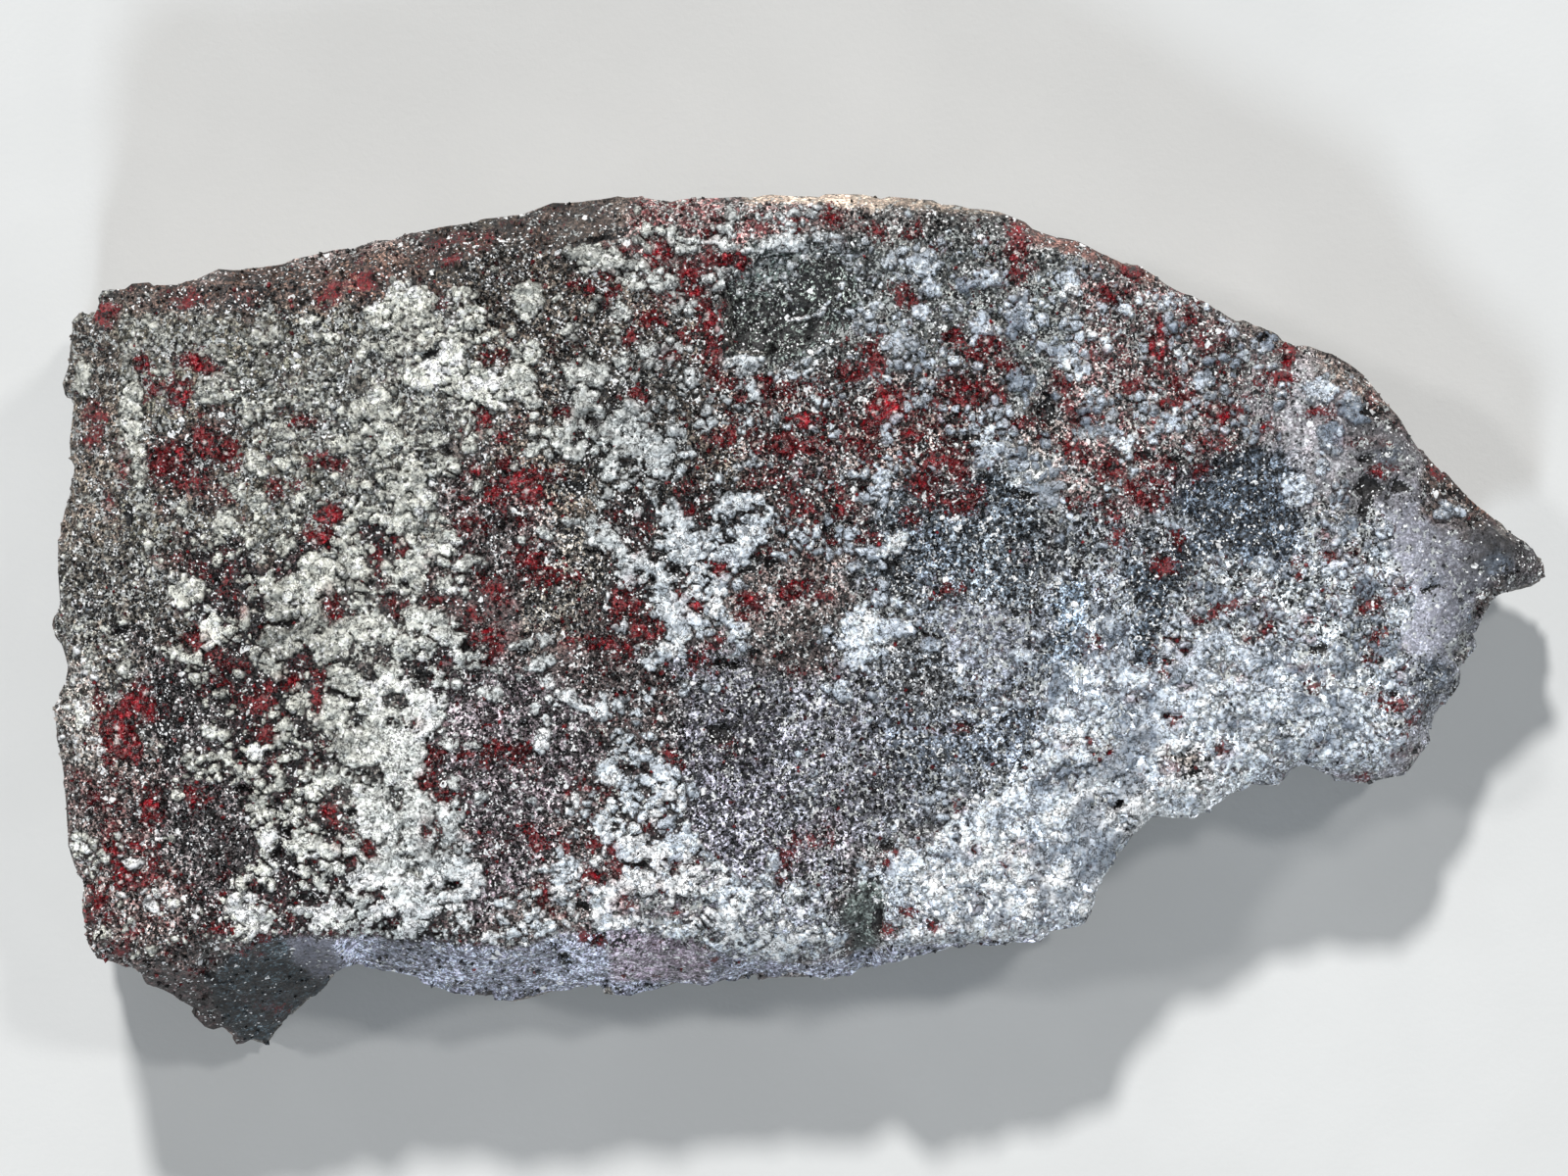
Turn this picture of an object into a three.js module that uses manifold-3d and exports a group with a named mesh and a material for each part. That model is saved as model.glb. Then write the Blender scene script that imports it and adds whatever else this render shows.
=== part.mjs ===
/*
 * Cinnabar on matrix: a broken slab of pale carbonate rock that lies on its flat back, crystal face up.
 * White calcite crusts and red cinnabar crusts have grown on the face, each a body of its own.
 *
 * Units are millimetres. +X runs along the slab to its pointed end, +Y across it, and +Z up.
 * The origin is the centre of the slab's outline, on the surface that it rests on.
 */
import * as THREE from "three";
import { mergeVertices } from "three/addons/utils/BufferGeometryUtils.js";
import Module from "manifold-3d";

const wasm = await Module();
wasm.setup();

// ---- Driving dimensions ----

const FACE_HEIGHT = 24.6; // of the crystal face above the base, at the middle
const FACE_FALL = 0.05; // mm of height lost for each mm towards the pointed end
const TIP_START = 52; // x beyond which the pointed end thins faster
const TIP_FALL = 0.13;
const SWELL = 0.9; // height of the face's broad rises and hollows
const SWELL_LENGTH = 21;
const ROUGHNESS = 0.5; // height of its smaller bumps
const ROUGHNESS_LENGTH = 5.5;

const EDGE_SPACING = 2.8; // between the points along the outline
const EDGE_CHIP = 0.16; // how far small chips move a point of the outline inwards
const FACE = { rings: [1.6, 3.8], spacing: 3.1, seed: 11 }; // rings: rows of points that follow the outline
const BACK = { rings: [5.4], spacing: 17, seed: 21 };
const STRAY = 0.25; // how far a point strays from its even place, as a share of the spacing
const CLOSEST = 0.6; // how near two points may come, as a share of the spacing

const WALL_ROWS = [0.3, 0.62]; // depths of the broken side's inner rows, as shares of the wall
const WALL_CHIP = 1.3; // how far the side's broken facets reach inwards
const WALL_WANDER = 0.08; // how far a row strays up or down, as a share of the wall
const WALL_FACET = 3; // points of the outline that a broken facet spans
const BACK_RISE = 1.15; // mm that the back rises for each mm nearer the edge, below the wall

const STEP_WIDTH = 0.5; // over which a terrace's edge falls
const PIT_CORNERS = 6;
const FEATURE_GAP = 0.4; // between the points that carry a pit or a terrace's edge
const FEATURE_DEPTH = 1.3; // how far inside the outline they stay

const SEAT_GAP = 0.3; // between a crust and the rock that it grows on
const ROOF_HEIGHT = 5; // above the face, within which the crusts are kept
const SMALLEST_EDGE = 0.1; // detail finer than this is smoothed away where crystals meet
const CRYSTAL_VARIATION = 0.2; // of a crystal's edge and stand, as a share either way
const CRYSTAL_TILT = 13; // degrees either way
const CRYSTAL_FLATNESS = 0.8; // height over edge
const RHOMB_SHEAR = [0, 0, -0.2, 0, -0.2, -0.24]; // turns a cube's right angles into 78 and 102 degrees

// The outline, in stretches that go clockwise from the upper left corner. A stretch's top is chamfered:
// bevel is the chamfer's width and drop its height. toe is the height of the side's lower edge.
const OUTLINE = [
  {
    name: "upper left corner",
    bevel: 1.0,
    drop: 1.6,
    toe: 7,
    points: [
      [-74.8, 30.4], [-74.1, 31.7], [-72.6, 31.4], [-71.9, 33.2], [-71.5, 33.9],
      [-69.2, 34.0], [-68.5, 34.6],
    ],
  },
  {
    name: "upper edge, left",
    bevel: 2.4,
    drop: 3.2,
    toe: 8,
    points: [
      [-64.1, 34.8], [-59.9, 36.3], [-55.3, 36.5], [-51.8, 37.2], [-48.8, 37.9],
      [-43.8, 39.3], [-42.0, 39.3], [-39.1, 40.3], [-32.4, 41.5], [-30.1, 41.9],
      [-25.8, 43.1], [-19.9, 43.6], [-16.8, 43.9], [-10.5, 43.7],
    ],
  },
  {
    name: "upper edge, crest",
    bevel: 1.9,
    drop: 3.6,
    toe: 9,
    points: [
      [-6.4, 43.8], [-3.4, 44.25], [-0.4, 44.0], [3.0, 44.2], [5.9, 44.2],
      [7.9, 43.9], [13.9, 43.3], [19.9, 42.3], [23.5, 40.7],
    ],
  },
  {
    name: "upper right slope",
    bevel: 1.0,
    drop: 2.2,
    toe: 8,
    points: [
      [28.0, 39.3], [31.5, 37.7], [34.1, 36.7], [38.0, 34.4], [41.5, 32.9],
      [43.8, 31.4], [48.5, 29.5], [54.2, 27.6], [57.4, 25.4], [61.4, 21.1],
      [64.1, 17.4], [67.5, 14.0], [72.2, 9.7],
    ],
  },
  {
    name: "pointed end",
    bevel: 1.6,
    drop: 2.4,
    toe: 8,
    points: [
      [74.0, 8.8], [75.4, 7.7], [75.8, 6.6], [76.5, 6.4], [76.6, 4.7],
      [75.5, 4.0], [71.7, 2.8], [70.3, 1.5],
    ],
  },
  {
    name: "lower right edge",
    bevel: 2.3,
    drop: 3.6,
    toe: 7,
    points: [
      [68.9, -1.1], [69.5, -2.3], [67.8, -4.4], [67.5, -6.2], [64.9, -9.5],
      [64.3, -11.1], [64.6, -12.2], [63.4, -13.7], [62.0, -15.8], [57.7, -16.4],
      [55.4, -16.2], [51.3, -14.5], [50.0, -14.9], [48.7, -16.5], [46.1, -16.3],
      [41.6, -19.4], [40.0, -20.4], [35.9, -19.9],
    ],
  },
  {
    name: "lower edge, right",
    bevel: 1.5,
    drop: 2.8,
    toe: 6,
    points: [
      [33.9, -21.8], [32.4, -23.7], [30.4, -27.0], [30.0, -28.6], [29.3, -29.8],
      [28.2, -30.8], [25.4, -31.3], [24.1, -32.7], [20.0, -33.1], [16.4, -33.0],
      [11.6, -33.8], [9.4, -34.5],
    ],
  },
  {
    name: "lower edge, front face",
    bevel: 5.3,
    drop: 10.5,
    toe: 5,
    points: [
      [6.2, -35.8], [4.6, -36.6], [1.7, -36.9], [-3.7, -36.2], [-5.8, -36.3],
      [-10.1, -37.6], [-13.4, -37.2], [-18.0, -37.9], [-23.4, -37.8], [-26.3, -37.6],
      [-30.1, -38.4], [-36.0, -37.9], [-37.9, -37.2], [-41.9, -36.3], [-45.9, -35.1],
    ],
  },
  {
    name: "foot",
    bevel: 0.7,
    drop: 0.7,
    toe: 2.6,
    points: [
      [-47.5, -35.4], [-48.7, -36.3], [-50.0, -38.0], [-54.2, -41.5], [-56.4, -44.25],
      [-58.9, -43.5], [-59.2, -42.5], [-61.5, -41.3], [-62.9, -39.9], [-67.4, -37.0],
      [-67.7, -35.9],
    ],
  },
  {
    name: "left edge, lower half",
    bevel: 1.3,
    drop: 2.4,
    toe: 6,
    points: [
      [-68.7, -34.9], [-72.0, -34.0], [-72.9, -32.5], [-73.7, -29.0], [-73.4, -26.4],
      [-74.1, -25.7], [-75.0, -22.6], [-75.3, -17.9], [-76.3, -11.0], [-76.6, -8.6],
      [-75.1, -6.0], [-74.9, -4.3], [-76.4, -0.1],
    ],
  },
  {
    name: "left edge, upper half",
    bevel: 1.1,
    drop: 2.0,
    toe: 6,
    points: [
      [-75.7, 1.5], [-76.0, 6.0], [-76.1, 10.0], [-74.8, 16.0], [-75.2, 18.4],
      [-74.8, 22.4], [-75.4, 24.5], [-74.8, 26.4],
    ],
  },
];

// The foot at the lower left is cut by two broken facets, each through three corners.
const FOOT = {
  end: -44, // x at which the foot's facets stop
  inner: [[-53.6, -32.0, 26.5], [-61.6, -36.8, 22.5], [-56.2, -44.2, 7.0]],
  outer: [[-68.5, -34.6, 27.2], [-61.6, -36.8, 22.5], [-58.9, -43.5, 8.0]],
  front: [[-53.6, -32.0, 26.5], [-30.0, -32.6, 26.2], [-30.0, -38.0, 14.5]],
};

// Terraces: closed patches of the face that lie lower (or, with a negative depth, higher) than it.
// ramp points from a terrace's deep side to the side where it meets the face with no step.
const TERRACES = [
  {
    name: "left band",
    depth: 1.3,
    points: [[-77, 31], [-69.4, 31.5], [-69.6, 20], [-68.8, 8], [-77, 7]],
  },
  {
    name: "dark hollow",
    depth: 2.6,
    ramp: [0.55, 0.45],
    points: [
      [-8.1, 35.4], [-7.7, 27.6], [-2.0, 27.4], [4.2, 29.2], [5.6, 33.6], [5.0, 39.0], [-2.2, 38.2],
    ],
  },
  {
    name: "violet druse floor",
    depth: 1.1,
    ramp: [0.5, -0.6],
    points: [
      [-13.8, -5.2], [-8.0, -4.6], [-4.0, -3.2], [1.0, -1.6], [4.4, -7.5], [9.0, -12.0],
      [8.2, -25.0], [-9.6, -25.6], [-10.6, -17.0], [-12.8, -10.6],
    ],
  },
  {
    name: "blue flat, middle",
    depth: 0.8,
    points: [[8.2, 13.2], [17.0, 15.2], [27.0, 14.0], [29.5, 5.0], [19.0, 1.5], [9.0, 5.5]],
  },
  {
    name: "blue flat, right",
    depth: 0.9,
    points: [[38.0, 14.5], [44.0, 18.2], [51.5, 17.5], [50.5, 10.0], [45.5, 4.4], [37.5, 6.5]],
  },
  {
    name: "upper band",
    depth: 0.9,
    points: [[-74, 36], [-52, 34.6], [-30, 38.6], [-17.5, 39.8], [-9.5, 41.2], [-10, 46], [-74, 46]],
  },
];

// Pits and clefts: [x, y, half length, half width, direction in degrees, depth].
const PITS = [
  [-28.3, 31.6, 3.0, 1.1, -35, 2.6],
  [-37.6, 27.6, 2.6, 0.8, 38, 1.7],
  [-7.4, -4.2, 3.4, 1.0, 12, 2.4],
  [-35.6, -27.3, 2.4, 1.0, 5, 1.9],
  [-36.6, -0.3, 2.2, 0.8, -25, 1.8],
  [25.0, 22.0, 1.6, 2.2, 0, 2.4],
  [18.0, 19.4, 1.4, 1.1, 0, 1.7],
  [1.6, 17.8, 2.0, 0.9, -10, 1.9],
  [60.2, -6.6, 1.5, 2.7, -15, 2.6],
  [6.2, -30.6, 1.9, 4.6, -12, 2.6],
  [-24.4, -34.0, 2.0, 0.9, -45, 1.7],
  [36.0, 14.8, 2.6, 1.2, -20, 1.7],
  [39.0, -15.2, 2.2, 1.2, 15, 1.6],
  [43.5, -13.0, 1.5, 1.1, 0, 1.5],
];

const ROCK = { colour: 0x8f8d8a, roughness: 0.8 };

// Crusts grow inside discs, [x, y, radius]. size is a crystal's edge and stand how far it stands proud.
const CALCITE = { size: 5.5, spacing: 5.0, stand: 1.5, colour: 0xd9dcd0, roughness: 0.45 };
const CINNABAR = { size: 3.9, spacing: 3.4, stand: 0.9, colour: 0x9c1420, roughness: 0.3 };
const CALCITE_CRUSTS = [
  {
    name: "calcite_crust_upper_left",
    discs: [
      [-45, 29, 4.5], [-39, 33, 4], [-38, 25.5, 5], [-33, 24, 3.5], [-35, 30.5, 3],
    ],
  },
  {
    name: "calcite_crust_left",
    discs: [
      [-46, 5.5, 6.5], [-52, -0.5, 5.5], [-41.5, -1.5, 5.5], [-58, 2, 3],
      [-45, 13, 3],
    ],
  },
  {
    name: "calcite_crust_lower_left",
    discs: [
      [-43, -9.5, 6], [-50, -13.5, 7], [-58, -14.5, 4.5], [-40, -18, 6.5],
      [-49, -22, 4], [-57, -27.5, 3],
    ],
  },
  {
    name: "calcite_crust_front_left",
    discs: [
      [-48, -28.5, 3], [-43, -29.5, 3.4], [-37.5, -29.3, 2.4], [-53, -28.8, 2.6],
    ],
  },
  {
    name: "calcite_crust_front_middle",
    discs: [
      [-28, -30, 3.4], [-22, -27.5, 4.5], [-15, -25, 4.5], [-13.5, -18, 4.2],
      [-18, -14.5, 3.5],
    ],
  },
  { name: "calcite_crust_middle", discs: [[-20, 17.5, 4.2], [-14, 18.5, 4], [-17, 22, 2.6]] },
  {
    name: "calcite_crust_centre",
    discs: [
      [-8, 9, 5], [-3.5, 12, 3.4], [-12.5, 6.5, 3.4], [-3, 5.5, 3.2],
      [-13.5, 2, 3],
    ],
  },
  { name: "calcite_crust_right", discs: [[5.5, -1, 3.2], [9.5, -3, 3.4], [5.5, -6.5, 2.8]] },
];
const CINNABAR_CRUSTS = [
  { name: "cinnabar_patch_far_left", discs: [[-69, -10.6, 2.8], [-66.8, -7.8, 2], [-70, -14, 2]] },
  { name: "cinnabar_patch_lower_left", discs: [[-67.8, -24, 2.6], [-65.3, -21.5, 1.8], [-70.5, -28, 2]] },
  { name: "cinnabar_patch_left_hollow", discs: [[-60, -6, 2.4], [-55.5, -7.4, 2.2]] },
  { name: "cinnabar_patch_upper_left", discs: [[-64, 17.5, 2.6], [-60, 17.8, 2.2]] },
  { name: "cinnabar_patch_middle_left", discs: [[-31.5, 14, 2.8], [-28, 15, 2.2], [-33.5, 12, 2]] },
  { name: "cinnabar_patch_middle", discs: [[-27, 6, 2.8], [-24, 4.5, 2]] },
  {
    name: "cinnabar_vein_middle",
    discs: [
      [-33.5, 1.5, 2.4], [-29, -1.4, 2], [-18.5, 0.5, 3], [-15, -2, 2.2],
      [-24, 0, 2.6],
    ],
  },
  {
    name: "cinnabar_vein_top",
    discs: [
      [-13.5, 37, 2.4], [-11.5, 33.5, 2.6], [-11, 29.5, 2.4], [-9.8, 25.5, 2.4],
    ],
  },
  { name: "cinnabar_patch_centre", discs: [[0, 21.2, 2.4], [-3, 24.6, 2.2]] },
  { name: "cinnabar_patch_centre_right", discs: [[7.5, 22, 3.2], [5, 26, 2.4], [9, 18.8, 2.4]] },
  { name: "cinnabar_patch_ring", discs: [[14, 15.2, 2.8], [16, 12.6, 2]] },
  { name: "cinnabar_patch_upper_right", discs: [[19, 27.5, 2.4], [17, 23.5, 2.6], [14.5, 20.5, 2]] },
  { name: "cinnabar_patch_shoulder", discs: [[37, 30, 2.6], [35, 33, 2]] },
  { name: "cinnabar_patch_right", discs: [[32, 14, 2.6], [35.2, 17.8, 2.2], [37, 21, 2]] },
];

// ---- Numbers that look random and are the same on every run ----

function hash(i, j, seed) {
  let h = (Math.imul(i, 374761393) + Math.imul(j, 668265263) + Math.imul(seed, 2246822519)) | 0;
  h = Math.imul(h ^ (h >>> 13), 1274126177);
  return ((h ^ (h >>> 16)) >>> 0) / 4294967296;
}

// Smooth noise from -1 to 1 that changes over a length of 1.
function noise(x, y, seed) {
  const i = Math.floor(x);
  const j = Math.floor(y);
  const u = THREE.MathUtils.smoothstep(x - i, 0, 1);
  const v = THREE.MathUtils.smoothstep(y - j, 0, 1);
  const low = THREE.MathUtils.lerp(hash(i, j, seed), hash(i + 1, j, seed), u);
  const high = THREE.MathUtils.lerp(hash(i, j + 1, seed), hash(i + 1, j + 1, seed), u);
  return 2 * THREE.MathUtils.lerp(low, high, v) - 1;
}

// ---- Plane geometry ----

function segmentDistance(x, y, [ax, ay], [bx, by]) {
  const dx = bx - ax;
  const dy = by - ay;
  const t = THREE.MathUtils.clamp(((x - ax) * dx + (y - ay) * dy) / (dx * dx + dy * dy), 0, 1);
  return { t, distance: Math.hypot(x - ax - t * dx, y - ay - t * dy) };
}

function insidePolygon(x, y, points) {
  let inside = false;
  points.forEach(([ax, ay], i) => {
    const [bx, by] = points[(i + 1) % points.length];
    if (ay > y !== by > y && x < ax + ((y - ay) / (by - ay)) * (bx - ax)) inside = !inside;
  });
  return inside;
}

// Positive inside the polygon, negative outside it.
function depthInside(x, y, points) {
  const distances = points.map((p, i) => segmentDistance(x, y, p, points[(i + 1) % points.length]).distance);
  return Math.min(...distances) * (insidePolygon(x, y, points) ? 1 : -1);
}

function planeThrough([a, b, c]) {
  const [ux, uy, uz] = b.map((v, k) => v - a[k]);
  const [vx, vy, vz] = c.map((v, k) => v - a[k]);
  const area = ux * vy - uy * vx;
  const slopeX = (uz * vy - uy * vz) / area;
  const slopeY = (ux * vz - uz * vx) / area;
  return (x, y) => a[2] + slopeX * (x - a[0]) + slopeY * (y - a[1]);
}

// ---- The outline, as evenly spaced points that carry their stretch's bevel, drop and toe ----

// What lies a share t of the way from place a to place b.
function between(a, b, t) {
  const at = (key) => THREE.MathUtils.lerp(a[key], b[key], t);
  return { x: at("x"), y: at("y"), bevel: at("bevel"), drop: at("drop"), toe: at("toe") };
}

function alongOutline() {
  const corners = OUTLINE.flatMap(({ points, bevel, drop, toe }) =>
    points.map(([x, y]) => ({ x, y, bevel, drop, toe })),
  );
  const ring = [];
  corners.forEach((a, i) => {
    const b = corners[(i + 1) % corners.length];
    const steps = Math.max(1, Math.round(Math.hypot(b.x - a.x, b.y - a.y) / EDGE_SPACING));
    for (let k = 0; k < steps; k++) ring.push({ ...between(a, b, k / steps), corner: k === 0 });
  });
  return ring.reverse(); // anticlockwise, seen from above
}

const ring = alongOutline();
const ringAt = (i) => ring[(i + ring.length) % ring.length];

// The direction into the slab at each point, averaged so that neighbouring points never cross.
ring.forEach((p, i) => {
  const before = ringAt(i - 2);
  const after = ringAt(i + 2);
  const length = Math.hypot(after.x - before.x, after.y - before.y);
  p.inX = -(after.y - before.y) / length;
  p.inY = (after.x - before.x) / length;
});
ring.forEach((p, i) => {
  if (p.corner) return;
  p.x += p.inX * EDGE_CHIP * hash(i, 1, 5);
  p.y += p.inY * EDGE_CHIP * hash(i, 1, 5);
});
const rim = ring.map(({ x, y }) => [x, y]);

// How far a place is from the outline, and what the nearest stretch says there.
function nearestEdge(x, y) {
  let best = { distance: Infinity };
  ring.forEach((a, i) => {
    const b = ringAt(i + 1);
    const { t, distance } = segmentDistance(x, y, [a.x, a.y], [b.x, b.y]);
    if (distance < best.distance) best = { distance, a, b, t };
  });
  return { ...between(best.a, best.b, best.t), distance: best.distance };
}

// ---- Heights ----

const footInner = planeThrough(FOOT.inner);
const footOuter = planeThrough(FOOT.outer);
const footFront = planeThrough(FOOT.front);

function terraceDepth(x, y, { points, depth, ramp }) {
  const inside = depthInside(x, y, points);
  if (inside <= 0) return 0;
  const step = depth * Math.min(1, inside / STEP_WIDTH);
  if (!ramp) return step;
  const along = points.map(([px, py]) => px * ramp[0] + py * ramp[1]);
  const low = Math.min(...along);
  const share = (x * ramp[0] + y * ramp[1] - low) / (Math.max(...along) - low);
  return step * (1 - share);
}

function pitDepth(x, y, [px, py, halfLength, halfWidth, degrees, depth]) {
  const turn = THREE.MathUtils.degToRad(degrees);
  const along = ((x - px) * Math.cos(turn) + (y - py) * Math.sin(turn)) / halfLength;
  const across = ((y - py) * Math.cos(turn) - (x - px) * Math.sin(turn)) / halfWidth;
  return depth * Math.max(0, 1 - Math.hypot(along, across) ** 2);
}

function faceHeight(x, y) {
  let z = FACE_HEIGHT - FACE_FALL * x - TIP_FALL * Math.max(0, x - TIP_START);
  z += SWELL * noise(x / SWELL_LENGTH, y / SWELL_LENGTH, 1);
  z += ROUGHNESS * noise(x / ROUGHNESS_LENGTH, y / ROUGHNESS_LENGTH, 2);
  for (const terrace of TERRACES) z -= terraceDepth(x, y, terrace);
  for (const pit of PITS) z -= pitDepth(x, y, pit);
  return z;
}

function topHeight(x, y) {
  const edge = nearestEdge(x, y);
  let z = faceHeight(x, y) - edge.drop * Math.max(0, 1 - edge.distance / edge.bevel);
  if (x < FOOT.end) z = Math.min(z, footOuter(x, y), Math.max(footInner(x, y), footFront(x, y)));
  return z;
}

function backHeight(x, y) {
  const edge = nearestEdge(x, y);
  return Math.max(0, edge.toe - BACK_RISE * edge.distance);
}

// ---- Triangles over the outline ----

function circumcircle(a, b, c) {
  const d = 2 * (a[0] * (b[1] - c[1]) + b[0] * (c[1] - a[1]) + c[0] * (a[1] - b[1]));
  const [a2, b2, c2] = [a, b, c].map(([x, y]) => x * x + y * y);
  const x = (a2 * (b[1] - c[1]) + b2 * (c[1] - a[1]) + c2 * (a[1] - b[1])) / d;
  const y = (a2 * (c[0] - b[0]) + b2 * (a[0] - c[0]) + c2 * (b[0] - a[0])) / d;
  return { x, y, r2: (a[0] - x) ** 2 + (a[1] - y) ** 2 };
}

// Delaunay triangles of the points, anticlockwise, as index triples (Bowyer-Watson).
function delaunay(points) {
  const far = 1e4;
  const all = [...points, [-far, -far], [far, -far], [0, far]];
  const n = points.length;
  const make = (a, b, c) => ({ v: [a, b, c], circle: circumcircle(all[a], all[b], all[c]) });
  let triangles = [make(n, n + 1, n + 2)];
  for (let p = 0; p < n; p++) {
    const [x, y] = all[p];
    const open = new Map();
    triangles = triangles.filter(({ v, circle }) => {
      if ((circle.x - x) ** 2 + (circle.y - y) ** 2 >= circle.r2) return true;
      for (let k = 0; k < 3; k++) {
        const [a, b] = [v[k], v[(k + 1) % 3]];
        if (!open.delete(b + "," + a)) open.set(a + "," + b, [a, b]);
      }
      return false;
    });
    for (const [a, b] of open.values()) triangles.push(make(a, b, p));
  }
  return triangles.map(({ v }) => v).filter((v) => v.every((k) => k < n));
}

// A triangular grid over the whole slab whose points stray a little from their even places.
function unevenGrid(spacing, seed) {
  const rowHeight = spacing * Math.sqrt(0.75);
  const columns = Math.ceil(Math.max(...rim.map(([x]) => x)) / spacing);
  const rows = Math.ceil(Math.max(...rim.map(([, y]) => y)) / rowHeight);
  const places = [];
  for (let j = -rows; j <= rows; j++) {
    for (let i = -columns; i <= columns; i++) {
      const strayX = STRAY * (2 * hash(i, j, seed) - 1);
      const strayY = STRAY * (2 * hash(i, j, seed + 1) - 1);
      places.push([(i + (j & 1) / 2 + strayX) * spacing, j * rowHeight + strayY * spacing]);
    }
  }
  return places;
}

// Places inside the outline: given features, then rows that follow it, then an uneven grid.
function placesInside({ rings, spacing, seed }, features) {
  const places = [];
  const add = (x, y, gap, depth) => {
    const clear = places.every(([px, py]) => Math.hypot(px - x, py - y) >= gap);
    if (clear && depthInside(x, y, rim) >= depth) places.push([x, y]);
  };
  for (const [x, y] of features) add(x, y, FEATURE_GAP, FEATURE_DEPTH);
  for (const depth of rings) {
    for (const p of ring) {
      add(p.x + p.inX * depth, p.y + p.inY * depth, CLOSEST * EDGE_SPACING, (1 - STRAY / 2) * depth);
    }
  }
  const lastRing = rings[rings.length - 1];
  for (const [x, y] of unevenGrid(spacing, seed)) {
    add(x, y, CLOSEST * spacing, lastRing + (CLOSEST / 2) * spacing);
  }
  return places;
}

// Places that a pit or a terrace's step needs to show.
function featurePlaces() {
  const places = [];
  for (const [px, py, halfLength, halfWidth, degrees] of PITS) {
    const turn = THREE.MathUtils.degToRad(degrees);
    const place = (along, across) => [
      px + along * halfLength * Math.cos(turn) - across * halfWidth * Math.sin(turn),
      py + along * halfLength * Math.sin(turn) + across * halfWidth * Math.cos(turn),
    ];
    places.push(place(0, 0));
    for (let k = 0; k < PIT_CORNERS; k++) {
      const angle = (2 * Math.PI * k) / PIT_CORNERS;
      places.push(place(Math.cos(angle), Math.sin(angle)));
    }
  }
  for (const { points } of TERRACES) {
    points.forEach(([ax, ay], i) => {
      const [bx, by] = points[(i + 1) % points.length];
      const length = Math.hypot(bx - ax, by - ay);
      const sideX = ((by - ay) / length) * STEP_WIDTH;
      const sideY = (-(bx - ax) / length) * STEP_WIDTH;
      for (let s = FACE.spacing / 3; s < length; s += FACE.spacing) {
        const x = ax + ((bx - ax) * s) / length;
        const y = ay + ((by - ay) * s) / length;
        places.push([x, y], [x + sideX, y + sideY], [x - sideX, y - sideY]);
      }
    });
  }
  return places;
}

// ---- The matrix: a face and a back over one outline, joined by a broken side ----

function matrixMesh() {
  const vertices = [];
  const triangles = [];
  const put = (x, y, z) => vertices.push([x, y, z]) - 1;

  const sheet = (places, height, edgeIndices, up) => {
    const points = [...rim, ...places];
    const index = [...edgeIndices, ...places.map(([x, y]) => put(x, y, height(x, y)))];
    for (const [a, b, c] of delaunay(points)) {
      const x = (points[a][0] + points[b][0] + points[c][0]) / 3;
      const y = (points[a][1] + points[b][1] + points[c][1]) / 3;
      if (!insidePolygon(x, y, rim)) continue;
      triangles.push(up ? [index[a], index[b], index[c]] : [index[a], index[c], index[b]]);
    }
  };

  const topEdge = ring.map((p) => topHeight(p.x, p.y));
  const rows = [ring.map((p, i) => put(p.x, p.y, topEdge[i]))];
  WALL_ROWS.forEach((share, row) => {
    const chipped = ring.map((p, i) => {
      const chip = (1 + noise(i / WALL_FACET, row + 0.5, 7)) / 2;
      const reach = WALL_CHIP * chip * Math.sin(Math.PI * share);
      const down = share + WALL_WANDER * noise(i / WALL_FACET, row + 0.5, 8);
      const z = THREE.MathUtils.lerp(topEdge[i], p.toe, down);
      return put(p.x + p.inX * reach, p.y + p.inY * reach, z);
    });
    rows.push(chipped);
  });
  rows.push(ring.map((p) => put(p.x, p.y, p.toe)));
  for (let k = 0; k + 1 < rows.length; k++) {
    ring.forEach((_, i) => {
      const j = (i + 1) % ring.length;
      const [a, b, c, d] = [rows[k][i], rows[k][j], rows[k + 1][i], rows[k + 1][j]];
      triangles.push([a, c, b], [b, c, d]);
    });
  }

  sheet(placesInside(FACE, featurePlaces()), topHeight, rows[0], true);
  sheet(placesInside(BACK, []), backHeight, rows[rows.length - 1], false);
  return { vertices, triangles };
}

// ---- Solids ----

function solidOf(vertices, triangles) {
  const vertProperties = Float32Array.from(vertices.flat());
  const triVerts = Uint32Array.from(triangles.flat());
  return new wasm.Manifold(new wasm.Mesh({ numProp: 3, vertProperties, triVerts }));
}

function solidOfGeometry(geometry) {
  geometry.deleteAttribute("normal");
  geometry.deleteAttribute("uv");
  const merged = mergeVertices(geometry, 1e-4);
  const vertProperties = merged.attributes.position.array;
  const triVerts = Uint32Array.from(merged.index.array);
  return new wasm.Manifold(new wasm.Mesh({ numProp: 3, vertProperties, triVerts }));
}

function geometryOf(solid) {
  const { numProp, vertProperties, triVerts, numVert } = solid.getMesh();
  const positions = new Float32Array(3 * numVert);
  for (let i = 0; i < numVert; i++) {
    positions.set(vertProperties.subarray(i * numProp, i * numProp + 3), 3 * i);
  }
  const geometry = new THREE.BufferGeometry();
  geometry.setAttribute("position", new THREE.BufferAttribute(positions, 3));
  geometry.setIndex(new THREE.BufferAttribute(Uint32Array.from(triVerts), 1));
  geometry.computeVertexNormals();
  return geometry;
}

// ---- Crusts ----

const { vertices, triangles } = matrixMesh();
const matrix = solidOf(vertices, triangles);
const roof = matrix.translate([0, 0, ROOF_HEIGHT]);
let taken = matrix.add(matrix.translate([0, 0, SEAT_GAP]));

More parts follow.
